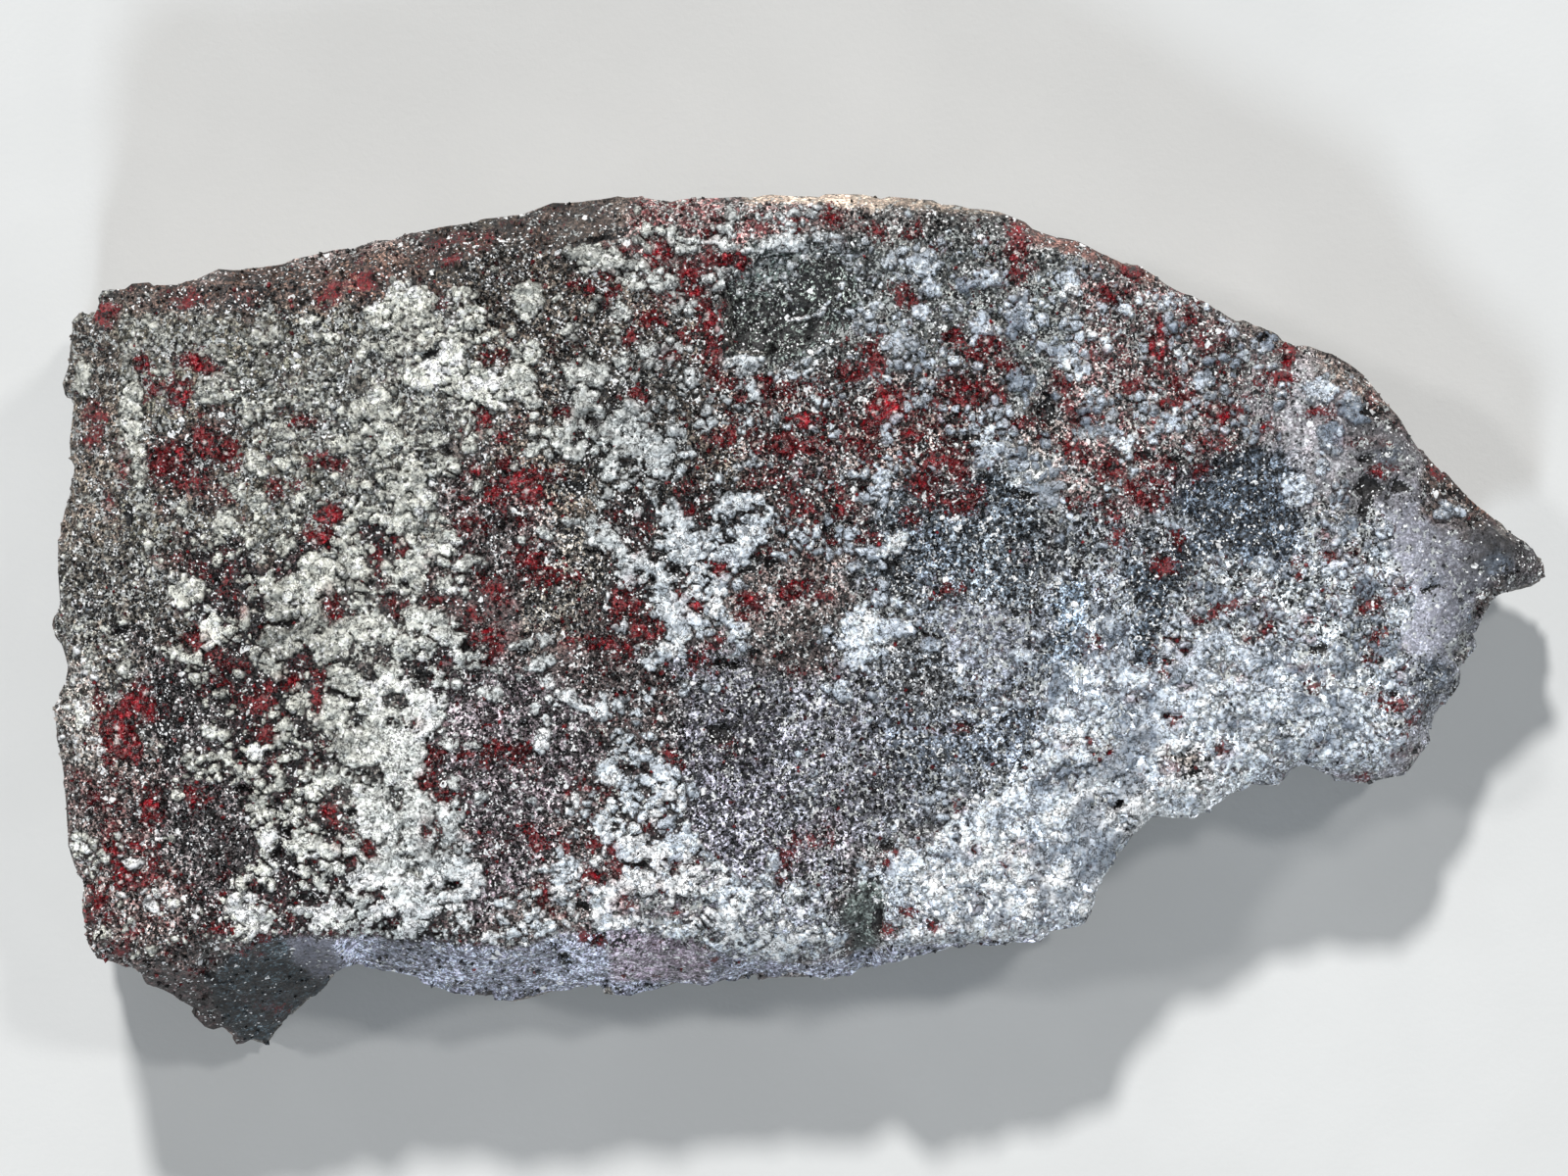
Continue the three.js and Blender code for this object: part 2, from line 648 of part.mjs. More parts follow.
// A rhombohedral crystal: a cube sheared along its diagonal, turned at random and set on the face.
// Every side of it is moved out by margin.
function rhomb(x, y, { size, stand }, seed, margin) {
  const either = (k) => 2 * hash(seed, k, 31) - 1;
  const tilt = THREE.MathUtils.degToRad(CRYSTAL_TILT);
  const edge = size * (1 + CRYSTAL_VARIATION * either(3));
  const height = edge * CRYSTAL_FLATNESS;
  const geometry = new THREE.BoxGeometry(edge + 2 * margin, edge + 2 * margin, height + 2 * margin);
  const turn = new THREE.Euler(tilt * either(4), tilt * either(5), Math.PI * either(6));
  geometry.applyMatrix4(new THREE.Matrix4().makeShear(...RHOMB_SHEAR));
  geometry.applyMatrix4(new THREE.Matrix4().makeRotationFromEuler(turn));
  const top = topHeight(x, y) + stand * (1 + CRYSTAL_VARIATION * either(7));
  geometry.translate(x, y, top - (height + edge * Math.sin(tilt)) / 2);
  return solidOfGeometry(geometry);
}

// A crust: joined rhombs, cut off at the rock below, at the rock's outline and round earlier crusts.
function crust({ discs }, mineral, seed) {
  const inDisc = (x, y) => discs.some(([dx, dy, radius]) => Math.hypot(x - dx, y - dy) <= radius);
  const places = unevenGrid(mineral.spacing, seed).filter(([x, y]) => inDisc(x, y));
  const grow = (margin) =>
    wasm.Manifold.union(places.map(([x, y], k) => rhomb(x, y, mineral, 100 * seed + k, margin)));
  const bodies = grow(0).intersect(roof).subtract(taken).simplify(SMALLEST_EDGE).decompose();
  taken = taken.add(grow(SEAT_GAP));
  return bodies.reduce((most, body) => (body.volume() > most.volume() ? body : most));
}

// ---- The specimen ----

const specimen = new THREE.Group();

function show(name, solid, { colour, roughness }) {
  const material = new THREE.MeshStandardMaterial({ color: colour, roughness, flatShading: true });
  const mesh = new THREE.Mesh(geometryOf(solid), material);
  mesh.name = name;
  specimen.add(mesh);
}

show("matrix", matrix, ROCK);
CALCITE_CRUSTS.forEach((c, i) => show(c.name, crust(c, CALCITE, 100 + i), CALCITE));
CINNABAR_CRUSTS.forEach((c, i) => show(c.name, crust(c, CINNABAR, 200 + i), CINNABAR));

export default specimen;
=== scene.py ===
"""Cinnabar on matrix: a slab of broken rock whose upper face is a druse of white calcite, dark quartz and
cinnabar.

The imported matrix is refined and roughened. The white, sugary and red crusts on it are fine height fields with
ragged edges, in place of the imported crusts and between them. Single grains and crystals stand on both. Sizes
are in millimetres, and colours are sRGB from 0 to 255 until they reach a mesh or a node.
"""

import math

import bpy
import numpy as np
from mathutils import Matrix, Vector
from mathutils.bvhtree import BVHTree
from mathutils.kdtree import KDTree


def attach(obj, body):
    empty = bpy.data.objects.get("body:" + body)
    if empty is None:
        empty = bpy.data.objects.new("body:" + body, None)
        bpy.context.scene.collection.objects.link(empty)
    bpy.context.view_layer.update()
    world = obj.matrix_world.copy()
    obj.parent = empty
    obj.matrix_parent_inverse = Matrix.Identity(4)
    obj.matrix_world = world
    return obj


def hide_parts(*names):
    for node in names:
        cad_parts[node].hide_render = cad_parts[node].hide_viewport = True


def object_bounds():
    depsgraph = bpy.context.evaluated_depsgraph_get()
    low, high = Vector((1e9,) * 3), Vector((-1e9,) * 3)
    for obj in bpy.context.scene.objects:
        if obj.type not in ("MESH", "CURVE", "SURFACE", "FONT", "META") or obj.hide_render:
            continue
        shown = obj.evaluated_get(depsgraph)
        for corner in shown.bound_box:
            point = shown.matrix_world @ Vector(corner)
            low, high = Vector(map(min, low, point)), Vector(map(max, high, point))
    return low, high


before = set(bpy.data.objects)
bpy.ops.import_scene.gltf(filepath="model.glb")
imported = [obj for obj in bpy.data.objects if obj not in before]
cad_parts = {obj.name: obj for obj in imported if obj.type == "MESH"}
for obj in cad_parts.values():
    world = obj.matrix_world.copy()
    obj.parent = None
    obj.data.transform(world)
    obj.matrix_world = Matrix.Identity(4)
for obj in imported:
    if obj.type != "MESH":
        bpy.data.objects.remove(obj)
cad_box = [list(corner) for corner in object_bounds()]
rng = np.random.default_rng(59)
MM = 0.001
BOX_LOW, BOX_HIGH = (np.array(corner) / MM for corner in cad_box)

# ---------------------------------------------------------------- where things are on the face

# Ground of the face, each later row over the earlier ones: outline, colour, second colour, and how much of
# it is white lumps, pale sugary grains, red, black, sparkling druse and smooth rock. Fields run together.
FIELDS = [
    ([(-90, -60), (90, -60), (90, 60), (-90, 60)],
     (122, 112, 108), (94, 82, 80), (.15, .25, .1, .14, .7, 0)),
    # left end: sandy grey, a reddish and a pale field in it, the darker field below it with its pale column
    ([(-77, 31), (-44, 34), (-35, 21), (-39, 8), (-64, 8), (-78, 0)],
     (126, 125, 112), (86, 80, 69), (.28, .4, .06, .12, .45, .15)),
    ([(-68, 20), (-57, 20), (-57, 12), (-66, 11)],
     (98, 78, 71), (64, 50, 48), (.12, .25, .25, .2, .7, 0)),
    ([(-52, 12), (-50, 24), (-45, 30), (-44, 36), (-33, 36), (-30, 24), (-36, 20), (-36, 8), (-44, 4)],
     (138, 138, 130), (92, 86, 78), (.6, .4, .05, .12, .4, 0)),
    ([(-78, 9), (-56, 8), (-56, 0), (-66, -5), (-66, -14), (-78, -14)],
     (112, 108, 100), (72, 66, 60), (.15, .35, .08, .2, .8, 0)),
    ([(-64, 8), (-34, 10), (-32, -33), (-65, -33)],
     (36, 17, 21), (80, 60, 62), (.6, .05, .25, .36, .75, 0)),
    ([(-50, 5), (-40, 7), (-37, 5), (-38, 0), (-40, -4), (-37, -8), (-40, -13), (-40, -18), (-36, -19),
      (-34, -22), (-36, -25), (-42, -26), (-48, -20), (-50, -14), (-49, -9), (-48, -5), (-53, -3),
      (-55, 2)],
     (156, 153, 146), (96, 80, 78), (.9, .1, .08, .12, .3, 0)),
    ([(-77, -14), (-63, -12), (-63, -35), (-74, -34)],
     (96, 70, 68), (132, 118, 114), (.25, .15, .25, .2, .9, 0)),
    ([(-66, -5), (-57, -5), (-57, -13), (-63, -15), (-56, -16), (-56, -24), (-59, -26), (-59, -31),
      (-64, -32), (-66, -20)],
     (66, 56, 58), (126, 120, 120), (.08, .05, .13, .35, 1, 0)),
    # middle: fine dark druse in several shades
    ([(-37, 16), (-12, 18), (-10, -6), (-12, -12), (-20, -27), (-34, -31), (-34, 4)],
     (90, 74, 74), (132, 122, 120), (.2, .1, .18, .22, 1, 0)),
    ([(-37, 5), (-30, 5), (-25, 4), (-20, 3), (-20, -4), (-26, -4), (-33, 1), (-37, 1)],
     (112, 96, 95), (86, 70, 68), (.08, .1, .12, .1, .5, .3)),
    ([(-35, -4), (-25, -6), (-20, -10), (-20, -16), (-24, -22), (-28, -28), (-34, -29), (-35, -15)],
     (84, 70, 76), (136, 128, 132), (.14, .1, .1, .25, 1, 0)),
    ([(-26, 17), (-18, 17), (-15, 12), (-20, 6), (-20, 0), (-27, 0), (-27, 10)],
     (78, 72, 66), (156, 150, 140), (.2, .2, .12, .34, 1, 0)),
    # upper edge: red-brown band, its dark olive stretch, and the grey-brown smooth band right of it
    ([(-76, 34.4), (-32, 42.5), (-12, 44.2), (-12, 41), (-30, 38), (-46, 34), (-53, 32.2), (-60, 33),
      (-72, 31.5)],
     (90, 70, 60), (58, 44, 38), (.04, .15, .16, .18, .35, .1)),
    ([(-37, 41), (-29, 42), (-29, 36), (-35, 36)],
     (84, 74, 64), (108, 98, 86), (.05, .15, .06, .15, .5, .2)),
    ([(-26, 39.5), (-10, 40.5), (-10, 44.5), (-26, 43.5)],
     (112, 99, 90), (84, 72, 65), (.0, .2, .08, .12, .2, .5)),
    # above the middle, with a pale field and a rosy one
    ([(-35, 37), (-8, 40), (-8, 24), (-6, 8), (-18, 4), (-32, 16)],
     (92, 78, 70), (142, 132, 120), (.35, .2, .16, .24, 1, 0)),
    ([(-24, 30), (-17, 31), (-12, 22), (-12, 15), (-22, 15), (-26, 21)],
     (132, 130, 122), (96, 88, 82), (.5, .3, .08, .18, .8, 0)),
    ([(-20, 40), (-14, 43), (-4, 43.5), (1, 41), (-5, 37), (-9, 34), (-14, 33), (-18, 36)],
     (178, 158, 154), (124, 74, 74), (.55, .3, .3, .08, .6, 0)),
    ([(-8, 28), (24, 31), (26, 17), (12, 14), (8, 8), (-2, 4), (-8, 16)],
     (84, 54, 52), (164, 150, 144), (.42, .3, .34, .3, .9, 0)),
    ([(3, 43), (28, 40), (30, 31), (24, 22), (6, 26), (4, 34)],
     (122, 128, 126), (84, 84, 82), (.42, .32, .1, .14, .6, 0)),
    # right of the middle: reddish field, then dark blue-grey flats
    ([(28, 38), (48, 31), (52, 20), (48, 14), (33, 12), (25, 21)],
     (154, 146, 142), (100, 72, 72), (.45, .3, .2, .2, .6, 0)),
    ([(44, 31), (50, 29), (56, 25), (60, 21), (64, 16), (61, 9), (50, 12), (50, 18), (52, 22), (48, 25)],
     (172, 172, 176), (146, 142, 146), (.2, .2, .05, .05, .15, .65)),
    ([(26, 12), (36, 12), (38, 4), (36, -4), (26, -2)],
     (104, 110, 118), (150, 154, 160), (.2, .3, .08, .14, .8, 0)),
    ([(8, 4), (36, 4), (24, -7), (18, -19), (7, -23), (4, -6)],
     (106, 112, 122), (150, 156, 166), (.25, .35, .04, .14, .6, 0)),
    ([(6, 13.6), (24, 15), (26, 4), (14, 2), (4, 5)],
     (76, 84, 92), (122, 130, 138), (.1, .15, .03, .2, .8, 0)),
    ([(19, 17.5), (27, 17.5), (28, 11), (24.5, 11), (23.5, 13.5), (19.5, 14)],
     (158, 160, 158), (128, 128, 126), (.6, .4, .04, .08, .4, 0)),
    ([(37, 14), (41, 16), (45, 18), (50.5, 18), (50, 14), (51, 9), (50, 5), (44, 2), (36, 4), (35, 8),
      (41, 10)],
     (66, 76, 87), (114, 123, 132), (.08, .15, .03, .22, 1, 0)),
    # right end: pale bluish sugary rock, its blue partly painted light, smooth along its rim and at the tip
    ([(36, 3), (51, 8), (62, 9), (74, 8), (65, -15), (36, -21), (28, -31), (8, -32), (8, -26), (18, -19),
      (24, -6)],
     (174, 182, 193), (206, 213, 221), (.7, .6, .05, .08, .45, 0)),
    ([(10, -9), (21, -9), (21, -15), (10, -15.5)],
     (98, 102, 108), (146, 151, 156), (.15, .3, .06, .2, .8, 0)),
    ([(36, 12), (40, 10), (44, 11), (49, 10), (49, 3), (44, 2), (38, 3)],
     (106, 114, 122), (166, 172, 178), (.3, .4, .05, .16, .8, 0)),
    ([(62, 14), (77, 6), (70, -1), (68, -7), (64, -15), (60, -11), (62, -6), (61, 4), (60, 9)],
     (158, 160, 170), (134, 134, 144), (.12, .2, .03, .03, .12, .8)),
    ([(70, 9.5), (73.5, 9), (76, 6), (74, 5), (70, 5)],
     (98, 94, 94), (80, 80, 84), (.0, .1, .0, .05, .1, .8)),
    ([(50, -12.5), (57, -14), (63, -12.5), (63, -17), (50, -17)],
     (164, 162, 168), (142, 142, 150), (.2, .15, .03, .03, .1, .7)),
    ([(41, 33), (47, 30.8), (57, 26), (66, 16), (72, 10), (70, 9), (63, 17), (56, 23.5), (48, 28)],
     (130, 112, 100), (84, 68, 62), (.05, .25, .1, .2, .2, .3)),
    # lower middle: violet-grey floor, blackish at its left end, and the dark streak and recess below it
    ([(-13, -5.4), (4, -4.4), (10, -9), (10, -20), (6, -24), (6, -30), (-12, -30), (-14, -21)],
     (126, 124, 134), (164, 166, 176), (.08, .28, .06, .15, .9, 0)),
    ([(-20, -13), (-14, -12), (-11, -16), (-10, -22), (-12, -30), (-20, -30)],
     (128, 116, 114), (64, 42, 46), (.8, .15, .2, .22, .6, 0)),
    ([(-21, -26), (-8, -26.5), (-7, -33), (-14, -35), (-21, -32.5)],
     (174, 170, 178), (134, 124, 132), (.75, .5, .08, .06, .5, .1)),
    ([(-15, -9), (-9, -8), (-9, -14), (-14, -14)],
     (74, 70, 72), (140, 138, 138), (.08, .1, .08, .34, 1, 0)),
    ([(-3, -19.3), (4, -19.7), (5, -24), (-3, -24.5)],
     (116, 108, 116), (150, 146, 154), (.06, .15, .12, .16, .8, 0)),
    ([(-10, -25), (3, -25), (3, -35), (-10, -35)],
     (166, 170, 178), (134, 134, 144), (.45, .4, .05, .1, .5, .1)),
]

# Smaller patches with ragged edges, over the fields.
PATCHES = [
    # pale and dark places of the left half
    ([(-42, -17), (-36, -18), (-33, -24), (-34, -30), (-42, -30), (-45, -24)],
     (156, 152, 146), (92, 72, 72), (.85, .3, .1, .14, .3, 0)),
    ([(-20, 12), (-12, 14), (-4, 12), (-3, 7), (-9, 3), (-12, -3), (-17, -4), (-20, 2)],
     (104, 94, 90), (56, 38, 38), (.75, .2, .22, .3, .8, 0)),
    ([(-27, 24), (-19, 24), (-14, 20), (-12, 15), (-20, 13), (-26, 18)],
     (104, 98, 90), (60, 50, 44), (.7, .25, .15, .3, .8, 0)),
    ([(3, -1), (6, 1.5), (12, 3), (12, -3), (8, -4.5), (3, -4)],
     (150, 152, 152), (110, 110, 112), (.8, .4, .03, .15, .5, 0)),
    ([(-12, -8), (-3, -9), (-2, -16), (-2, -25), (-9, -26), (-12, -16)],
     (94, 90, 100), (138, 138, 148), (.05, .15, .06, .2, .9, 0)),
    ([(-78, -3), (-72, -3), (-70, -9), (-72, -15), (-78, -15)],
     (146, 140, 132), (100, 90, 86), (.2, .35, .12, .14, .8, 0)),
    ([(38, 8), (48, 5), (60, 8), (60, -2), (38, -2)],
     (132, 138, 144), (172, 178, 182), (.45, .4, .08, .14, .5, 0)),
    # dark clast in the upper part, its darker left side and lighter top
    ([(-8.6, 37), (-6, 38.5), (-2, 39.5), (2, 40.5), (5.5, 39.5), (5, 35), (6, 31.5), (3, 28), (-1, 26),
      (-4, 27), (-8.6, 27.2)],
     (118, 128, 124), (60, 70, 68), (.3, .42, .0, .2, .3, 0)),
    ([(-8.6, 35.5), (-5, 34.5), (-1, 35), (2, 38.5), (4, 37), (3, 31), (-1, 27), (-5, 27.5), (-8.6, 28)],
     (36, 42, 40), (128, 136, 130), (.12, .2, .02, .5, .3, 0)),
    # dark blue-grey flats and shadows of the right half
    ([(9.5, 4), (10, 9), (14, 12), (22, 13.5), (25, 10), (23, 5), (17, 3.5)],
     (66, 74, 82), (108, 116, 124), (.1, .15, .02, .2, .9, 0)),
    ([(25, 3.5), (28, 4), (29, 0), (27, -4), (24, -3)],
     (84, 98, 112), (128, 140, 152), (.1, .2, .02, .1, .6, 0)),
    ([(14, 1.5), (24, 2), (25, -2), (20, -5), (14.5, -4)],
     (158, 162, 174), (134, 138, 148), (.1, .3, .02, .04, .6, .2)),
    ([(9, -3), (13, -1.5), (15, -4.5), (14, -8), (9, -8)],
     (84, 84, 86), (126, 128, 130), (.1, .15, .04, .2, .8, 0)),
    ([(8, -10), (20, -9), (24, -8), (24, -13), (17, -15.5), (8, -15)],
     (98, 106, 118), (142, 150, 162), (.08, .2, .03, .14, .8, 0)),
    ([(32, 5.5), (36.5, 5.5), (37, 2), (36.3, -4.5), (33.5, -4.5), (34.5, 0)],
     (62, 74, 86), (104, 116, 128), (.06, .15, .02, .2, .7, 0)),
    ([(37, 13), (41, 15.5), (45, 17.5), (50.3, 17.5), (49.6, 14), (51, 9), (50, 5.5), (46, 4), (44, 7),
      (36, 5), (36, 8), (41, 9.5)],
     (56, 66, 78), (90, 100, 112), (.08, .12, .02, .2, .6, .1)),
    ([(61.5, -4), (66.5, -3.5), (67, -7), (64, -10), (61.5, -12.5), (61, -9)],
     (112, 118, 128), (138, 142, 150), (.08, .2, .02, .05, .4, .3)),
    ([(37, -13.6), (41.5, -14), (41.5, -16), (38, -16.2)],
     (92, 82, 76), (128, 120, 114), (.15, .2, .08, .25, .7, 0)),
    # palest parts of the right end and the lower rim
    ([(38, -3), (47, -3.5), (58, -3), (58, -12), (46, -13), (38, -12)],
     (194, 201, 209), (216, 222, 227), (.8, .7, .04, .04, .35, 0)),
    ([(25, -4), (33, -3), (34, -8), (36, -14), (34, -20), (30, -28), (20, -32), (11, -31), (13, -24),
      (22, -18), (25, -11)],
     (194, 203, 214), (220, 227, 236), (.8, .7, .03, .05, .35, 0)),
    ([(10, -33.6), (30, -31.6), (31, -27), (25, -28.5), (10, -30.5)],
     (208, 212, 220), (190, 196, 206), (.4, .7, .02, .02, .3, .3)),
    ([(33, -20.5), (40, -20.8), (46, -16.5), (40, -16.4), (35, -17)],
     (200, 202, 204), (178, 180, 184), (.4, .6, .02, .04, .3, .2)),
]

# Parts with a clear edge of their own, over the fields.
PARTS = [
    ([(8, -26), (6, -26.5), (4, -28.5), (3.3, -30.5), (5, -32), (5.3, -34.3), (6.8, -34.6), (7.6, -32),
      (8.3, -29)],
     (68, 76, 73), (92, 99, 96), (.0, .1, .0, .14, .3, .3)),
    # lower edge: the smooth striated bevel, whose blue-grey is partly painted light from below, and the foot's
    # facets
    ([(-52, -32), (-40, -32.2), (-30, -33.2), (-25, -31.8), (-18, -31), (-10, -33.5), (0, -35.4), (9, -33),
      (24, -32.4), (25, -33.5), (8, -41), (-48, -41)],
     (166, 172, 186), (126, 126, 140), (.0, .15, .06, .08, .4, .35)),
    ([(-20, -31), (-10, -33), (-10, -37), (-20, -37)],
     (164, 156, 166), (124, 112, 124), (.0, .15, .12, .08, .4, .45)),
    # The foot's largest facet is dark as painted shade, where it faces away from the light.
    ([(-55.5, -31.8), (-50, -32), (-47.5, -36), (-54, -43), (-56.3, -45), (-60, -42), (-61.5, -36.3),
      (-59, -34.3)],
     (40, 50, 56), (72, 84, 90), (.0, .04, .06, .3, .15, .3)),
    ([(-52.5, -31.8), (-48.5, -32), (-47, -36), (-50, -37), (-52.5, -35)],
     (112, 112, 122), (92, 94, 104), (.0, .1, .0, .05, .1, 1)),
    ([(-69, -35), (-61.5, -35.5), (-61.5, -38), (-60, -41.5), (-56, -45), (-66, -43), (-70, -37)],
     (98, 78, 76), (70, 62, 62), (.0, .15, .14, .16, .4, .4)),
    # left ledge, and the two beige rims of the upper edge
    ([(-76, 31), (-69.6, 31), (-69.6, 8), (-76, 8)],
     (114, 106, 95), (84, 74, 67), (.0, .3, .1, .15, .4, .2)),
    # This rim is pale partly as painted light, where it faces the lamp.
    ([(-6, 45), (20, 45), (20, 41.8), (11, 42.6), (-6, 43.2)],
     (206, 190, 172), (182, 162, 146), (.0, .2, .0, .0, .1, .6)),
    ([(21, 43), (36, 38), (36, 34.5), (21, 40)],
     (130, 98, 90), (108, 78, 72), (.0, .2, .12, .08, .3, .4)),
]

# White and grey grains that stand out one by one: centre x, y, half widths, and a turn in degrees if any.
BRIGHT = [
    (-38.5, 25.5, 2.2, 2.2), (-43.3, 23.3, 1.2, 1.2), (-36, 27.5, 2, 1.5), (-18.8, 31.6, 1.4, .6),
    (27.3, 34.5, 1.3, 1.2), (-60, -11, 1.2, 1), (-55.7, -13.2, 1, .9), (-54.2, -21.5, 1.3, 1),
    (-54.3, -23, .8, .8), (-58, -28.5, 1.2, 1.3), (-68.3, -24.3, 1, .7), (-48.5, -29.3, 2.5, .6),
    (-44, -26.3, 1.5, .9), (-43, -29.3, 1.2, .8), (-39, -28.8, 1.3, .7), (-40, -31, 1.5, 1),
    (-36, -27.7, 1.6, .6), (-42.5, -6, 1.5, 1), (-44, -8, 1.3, 1.2), (-38.5, -8.3, 1.5, 1.1),
    (-36.5, -8, 1, .8), (-26, -6, 1, .8), (-24, -7.5, 1.5, .9, -30), (-13.5, -3, 1.8, 1),
    (5.8, -1.5, 1.6, 1), (9.5, 2.3, 1, .9), (9.5, 8.3, 1.2, 1.1), (6, .8, 2, .8), (-18.5, -16.5, 1.5, .6),
    (-14, -17.5, 1.5, .8), (-13, -26.5, 2, 1), (-11.5, -25.7, 1, 1), (-2, -33, 1.6, 1.3),
    (-2.5, -34.3, 1, .6), (26, 14.2, 1, .6), (25.3, 12.8, 1.3, 1), (53.2, 16.3, .8, 1.2),
    (-32, -31.7, .9, .8), (-26.7, -11.8, .7, 1.3), (-37, -26, .8, .8), (-51.5, 3.5, 2.2, 1.6),
    (4.5, -.3, 1.3, 1), (-45.5, -26.5, 1.2, 1), (-38.6, -11.6, .6, .4), (47.3, 6, 1.3, .9),
    # hairs and the rim of the clast
    (1.6, 31.8, 2.6, .2, 8), (2.4, 32.6, 2.2, .2, 62), (-1.8, 33.6, 2, .2, -28), (2, 28.4, 3.7, .25, 34),
    (-4, 37, 3.6, .22, 14), (-8.8, 31, .25, 2.6),
]

